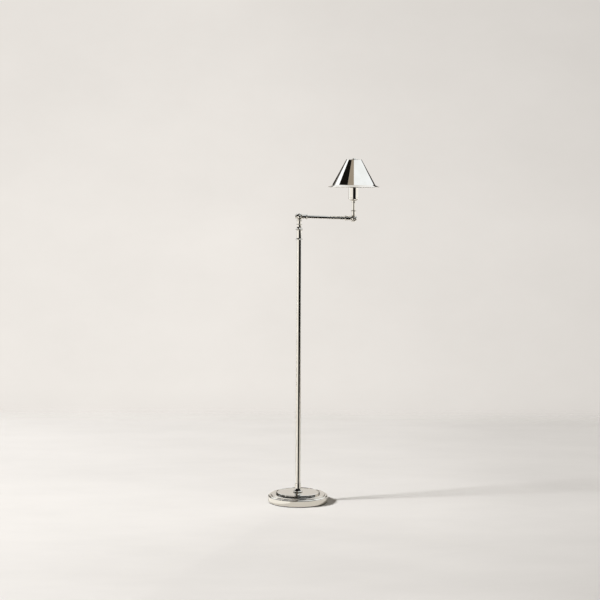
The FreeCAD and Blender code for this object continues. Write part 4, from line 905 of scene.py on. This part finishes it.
def pale_rays(tree):
    """One for rays from the camera, from gloss or through glass, and nothing for the light's own rays."""
    rays = add(tree, "ShaderNodeLightPath")
    seen = add(tree, "ShaderNodeMath", {0: rays.outputs["Is Camera Ray"], 1: rays.outputs["Is Glossy Ray"]},
               operation="ADD")
    return add(tree, "ShaderNodeMath", {0: seen.outputs[0], 1: rays.outputs["Is Transmission Ray"]},
               operation="ADD", use_clamp=True).outputs[0]


def make_plaster():
    """Warm white plaster with painted shade, darker in front and on the right, clear beyond the wall's foot."""
    material, tree, shader = new_finish("plaster")
    place = object_place(tree)
    across = add(tree, "ShaderNodeSeparateXYZ", {"Vector": place}).outputs
    trowel = noise(tree, place, (1.3, 2.6, 1.0), 6.0, 0.6)
    grain = noise(tree, place, (60.0, 60.0, 60.0), 4.0)
    colour = ramp(tree, trowel, (0.28, 0.80, 0.777, 0.748), (0.74, 0.87, 0.845, 0.815))
    # painted shade: the plaster's colour is scaled down in front and on the right, where the light falls off
    for axis, start, full, left in FLOOR_SHADES:
        part = add(tree, "ShaderNodeMapRange", {"Value": across[axis], "From Min": start, "From Max": full,
                                                "To Min": 1.0, "To Max": left},
                   interpolation_type="SMOOTHSTEP")
        colour = add(tree, "ShaderNodeVectorMath", {0: colour, "Scale": part.outputs["Result"]},
                     operation="SCALE").outputs[0]
    fill(tree, shader, {
        "Base Color": colour,
        "Roughness": 0.8,
        "Specular IOR Level": 0.1,
        "Normal": bump(tree, grain, 0.2, 0.001),
    })
    clear = add(tree, "ShaderNodeBsdfTransparent")
    beyond = add(tree, "ShaderNodeMapRange", {"Value": across["Y"], "From Min": CLEAR_FROM,
                                              "From Max": CLEAR_TO}, interpolation_type="SMOOTHSTEP")
    share = add(tree, "ShaderNodeMath", {0: pale_rays(tree), 1: beyond.outputs["Result"]},
                operation="MULTIPLY")
    both = add(tree, "ShaderNodeMixShader", {"Fac": share.outputs[0], 1: shader.outputs["BSDF"],
                                             2: clear.outputs["BSDF"]})
    tree.links.new(both.outputs["Shader"], tree.nodes["Material Output"].inputs["Surface"])
    return material


FLOOR_REACH = 400.0
floor_mesh = bpy.data.meshes.new("floor")
floor_mesh.from_pydata([(x, y, 0.0) for x, y in ((-1, -1), (1, -1), (1, 1), (-1, 1))], [], [(0, 1, 2, 3)])
floor_mesh.transform(Matrix.Diagonal((FLOOR_REACH, FLOOR_REACH, 1.0, 1.0)))
floor_mesh.materials.append(make_plaster())
floor = bpy.data.objects.new("floor", floor_mesh)
bpy.context.scene.collection.objects.link(floor)
print("floor", FLOOR_REACH, "m each way, clear from", CLEAR_FROM, "m behind the lamp")

# %% [markdown]
# ## The room
# Three kinds of ray see three rooms.  The light's own rays get an even, slightly warm fill.  The camera
# sees a pale wall with painted shade on it: darker to the right, towards its top and low down near its foot.
# Polished metal shows whatever stands round it, and in an even room it would look like grey plaster, so
# gloss sees the studio as it is: a dark space round the camera, a tall bright panel on the left, a wide one
# over the right, and the pale wall behind.  Each panel is a patch of the sky, given by its azimuth (0
# towards the camera, positive to the right) and its elevation, in degrees.

# %% World
NIGHT = (0.010, 0.009, 0.008)
PANELS = [
    # azimuth from, to, elevation from, to, edge, colour
    (-200, 200, 24, 100, 3.0, (1.20, 1.22, 1.26)),
    (-140, 104, -30, 26, 3.0, NIGHT),
    (-104, 80, -30, 46, 1.5, NIGHT),
    (-128, -28, -30, 2, 1.5, (1.46, 1.50, 1.56)),
    (34, 140, -30, 2, 1.5, (1.26, 1.30, 1.36)),
    (-134, -104, 20, 41, 1.5, (1.60, 1.68, 1.80)),
    (-104, -46, 30, 100, 1.5, NIGHT),
    (-46, -1, 46, 100, 1.0, (0.46, 0.40, 0.33)),
    (-1, 80, 43, 100, 0.5, (1.24, 1.32, 1.42)),
    (80, 142, 17, 100, 0.5, (1.24, 1.32, 1.42)),
    (-172, -143, 4, 25, 1.5, (0.03, 0.027, 0.024)),
    (143, 172, 4, 25, 1.5, (0.03, 0.027, 0.024)),
    (-75.5, -70.5, 31.5, 36.5, 0.8, (9.0, 8.9, 8.7)),
    (-200, 200, 76, 100, 3.0, NIGHT),
]

world = bpy.data.worlds.new("room")
bpy.context.scene.world = world
world.use_nodes = True
sky = world.node_tree
sky.nodes.clear()
direction = add(sky, "ShaderNodeTexCoord").outputs["Generated"]
part_of = add(sky, "ShaderNodeSeparateXYZ", {"Vector": direction}).outputs
to_camera = add(sky, "ShaderNodeMath", {0: part_of["Y"], 1: -1.0}, operation="MULTIPLY").outputs[0]
azimuth = add(sky, "ShaderNodeMath", {0: part_of["X"], 1: to_camera}, operation="ARCTAN2").outputs[0]
elevation = add(sky, "ShaderNodeMath", {0: part_of["Z"]}, operation="ARCSINE").outputs[0]


def between(tree, angle, low, high, edge):
    """One where the angle lies from low to high, fading over the edge's width, all in degrees."""
    low, high, edge = math.radians(low), math.radians(high), math.radians(edge)
    rise = add(tree, "ShaderNodeMapRange", {"Value": angle, "From Min": low - edge, "From Max": low + edge},
               interpolation_type="SMOOTHSTEP").outputs["Result"]
    fall = add(tree, "ShaderNodeMapRange", {"Value": angle, "From Min": high - edge, "From Max": high + edge},
               interpolation_type="SMOOTHSTEP").outputs["Result"]
    return add(tree, "ShaderNodeMath", {0: rise, 1: fall}, operation="SUBTRACT", use_clamp=True).outputs[0]


studio = add(sky, "ShaderNodeRGB").outputs[0]
studio.default_value = (*WALL_TONE, 1.0)
for west, east, low, high, edge, colour in PANELS:
    mask = add(sky, "ShaderNodeMath", {0: between(sky, azimuth, west, east, edge),
                                       1: between(sky, elevation, low, high, edge)}, operation="MULTIPLY")
    studio = add(sky, "ShaderNodeMix", {0: mask.outputs[0], 6: studio, 7: (*colour, 1.0)},
                 data_type="RGBA", clamp_result=False).outputs[2]

mottle = noise(sky, direction, (11.0, 11.0, 17.0), 8.0, 0.65)
wall_mottle = ramp(sky, mottle, (0.30, 0.832, 0.793, 0.747), (0.70, 0.872, 0.832, 0.785))
# painted shade: the wall's tone falls off to the right, towards its top and a little low down near its foot
wall_painted_shade = add(sky, "ShaderNodeMapRange", {"Value": part_of["X"], "From Min": -0.05, "From Max": 0.19,
                                                "To Min": 1.0, "To Max": 0.835}).outputs["Result"]
for start, stop, shade in ((-0.04, 0.09, 0.925), (-0.138, -0.156, 0.97)):
    part = add(sky, "ShaderNodeMapRange", {"Value": part_of["Z"], "From Min": start, "From Max": stop,
                                           "To Min": 1.0, "To Max": shade}).outputs["Result"]
    wall_painted_shade = add(sky, "ShaderNodeMath", {0: wall_painted_shade, 1: part}, operation="MULTIPLY").outputs[0]
wall_seen = add(sky, "ShaderNodeBackground", {"Color": wall_mottle, "Strength": wall_painted_shade})
studio_seen = add(sky, "ShaderNodeBackground", {"Color": studio, "Strength": 1.0})
fill_light = add(sky, "ShaderNodeBackground", {"Color": (1.0, 0.92, 0.78, 1.0), "Strength": 0.185})
glossy = add(sky, "ShaderNodeLightPath").outputs["Is Glossy Ray"]
shown = add(sky, "ShaderNodeMixShader", {"Fac": glossy, 1: wall_seen.outputs[0], 2: studio_seen.outputs[0]})
mixed = add(sky, "ShaderNodeMixShader", {"Fac": pale_rays(sky), 1: fill_light.outputs[0],
                                         2: shown.outputs[0]})
add(sky, "ShaderNodeOutputWorld", {"Surface": mixed.outputs[0]})
print("studio panels", len(PANELS))

# %% [markdown]
# ## The key light
# A window stands to the left and a little in front, about a third of the way up the sky.  An area lamp
# gives the base a dark shadow with a soft edge and the pole a faint one.  Polished metal would turn it into
# a white blob, so a small patch of the sky takes its place in reflections.

# %% Key light
KEY_DISTANCE = 20.0
KEY_ELEVATION = math.radians(34.0)
key_way = np.array([-0.958 * math.cos(KEY_ELEVATION), -0.286 * math.cos(KEY_ELEVATION),
                    math.sin(KEY_ELEVATION)])


def soft_lamp(name, way, distance, size, power, colour):
    """Square area lamp that looks at the lamp's middle from the way given and has no reflection."""
    data = bpy.data.lights.new(name, "AREA")
    data.shape = "SQUARE"
    data.size = size
    data.energy = power
    data.color = colour
    lamp = bpy.data.objects.new(name, data)
    lamp.visible_glossy = False
    bpy.context.scene.collection.objects.link(lamp)
    aim = np.array([0.1, 0.0, 0.4])
    lamp.matrix_world = Matrix.Translation(aim + way * distance) @ Matrix(axes_towards(way).tolist()).to_4x4()
    return lamp


KEY_SIZE = 3.6
KEY_POWER = 5950.0
soft_lamp("window", key_way, KEY_DISTANCE, KEY_SIZE, KEY_POWER, (0.978, 0.980, 0.992))
print("window", round(2 * math.degrees(math.atan(KEY_SIZE / 2 / KEY_DISTANCE)), 1), "degrees wide")

# %% [markdown]
# ## Cards on the floor
# Rays that leave the pole downwards meet the floor, not the sky.  So cards lie on it that paint reflections
# into the metal: a dark one in front, a dark wedge that reaches the lamp over the pale floor, and a bright
# field on the left and another far off on the right, glowing though they are no lamps.  They are seen by
# reflections alone: they light nothing and cast no shadow.

# %% Cards
def card(name, height, corners, brightness):
    """Flat card at this height through four corners (x, y), seen only in reflections."""
    mesh = bpy.data.meshes.new(name)
    mesh.from_pydata([(x, y, height) for x, y in corners], [], [(0, 1, 2, 3)])
    material = bpy.data.materials.new(name)
    material.use_nodes = True
    tree = material.node_tree
    tree.nodes.clear()
    light = add(tree, "ShaderNodeEmission", {"Color": (*CARD_TINT, 1.0), "Strength": brightness})
    add(tree, "ShaderNodeOutputMaterial", {"Surface": light.outputs[0]})
    mesh.materials.append(material)
    piece = bpy.data.objects.new(name, mesh)
    bpy.context.scene.collection.objects.link(piece)
    piece.visible_camera = False
    piece.visible_diffuse = False
    piece.visible_shadow = False
    piece.visible_transmission = False


FAR = 380.0
DARK_EDGE = -1.45
DARK = 0.012
CARD_TINT = (1.0, 0.98, 0.95)
# painted reflections: dark and glowing cards that only gloss sees
CARDS = [
    # name, height, corners, brightness
    ("card_dark_floor", 0.003, [(-FAR, -FAR), (FAR, -FAR), (FAR, DARK_EDGE), (-FAR, DARK_EDGE)], DARK),
    ("card_dark_near", 0.004, [(-0.085, -0.25), (-0.55, -1.6), (1.6, -1.6), (0.18, -0.18)], DARK),
    ("card_bright_left", 0.006, [(-0.14, 0.02), (-FAR, 32.0), (-127.0, -FAR), (-0.06, -0.16)], 1.25),
    ("card_bright_right", 0.006, [(22.0, 8.0), (22.0, -18.0), (FAR, -FAR), (FAR, 152.0)], 1.3),
]
for row in CARDS:
    card(*row)
print("cards", [row[0] for row in CARDS])

# %% Finish
scene = bpy.context.scene
scene.view_settings.view_transform = "Standard"
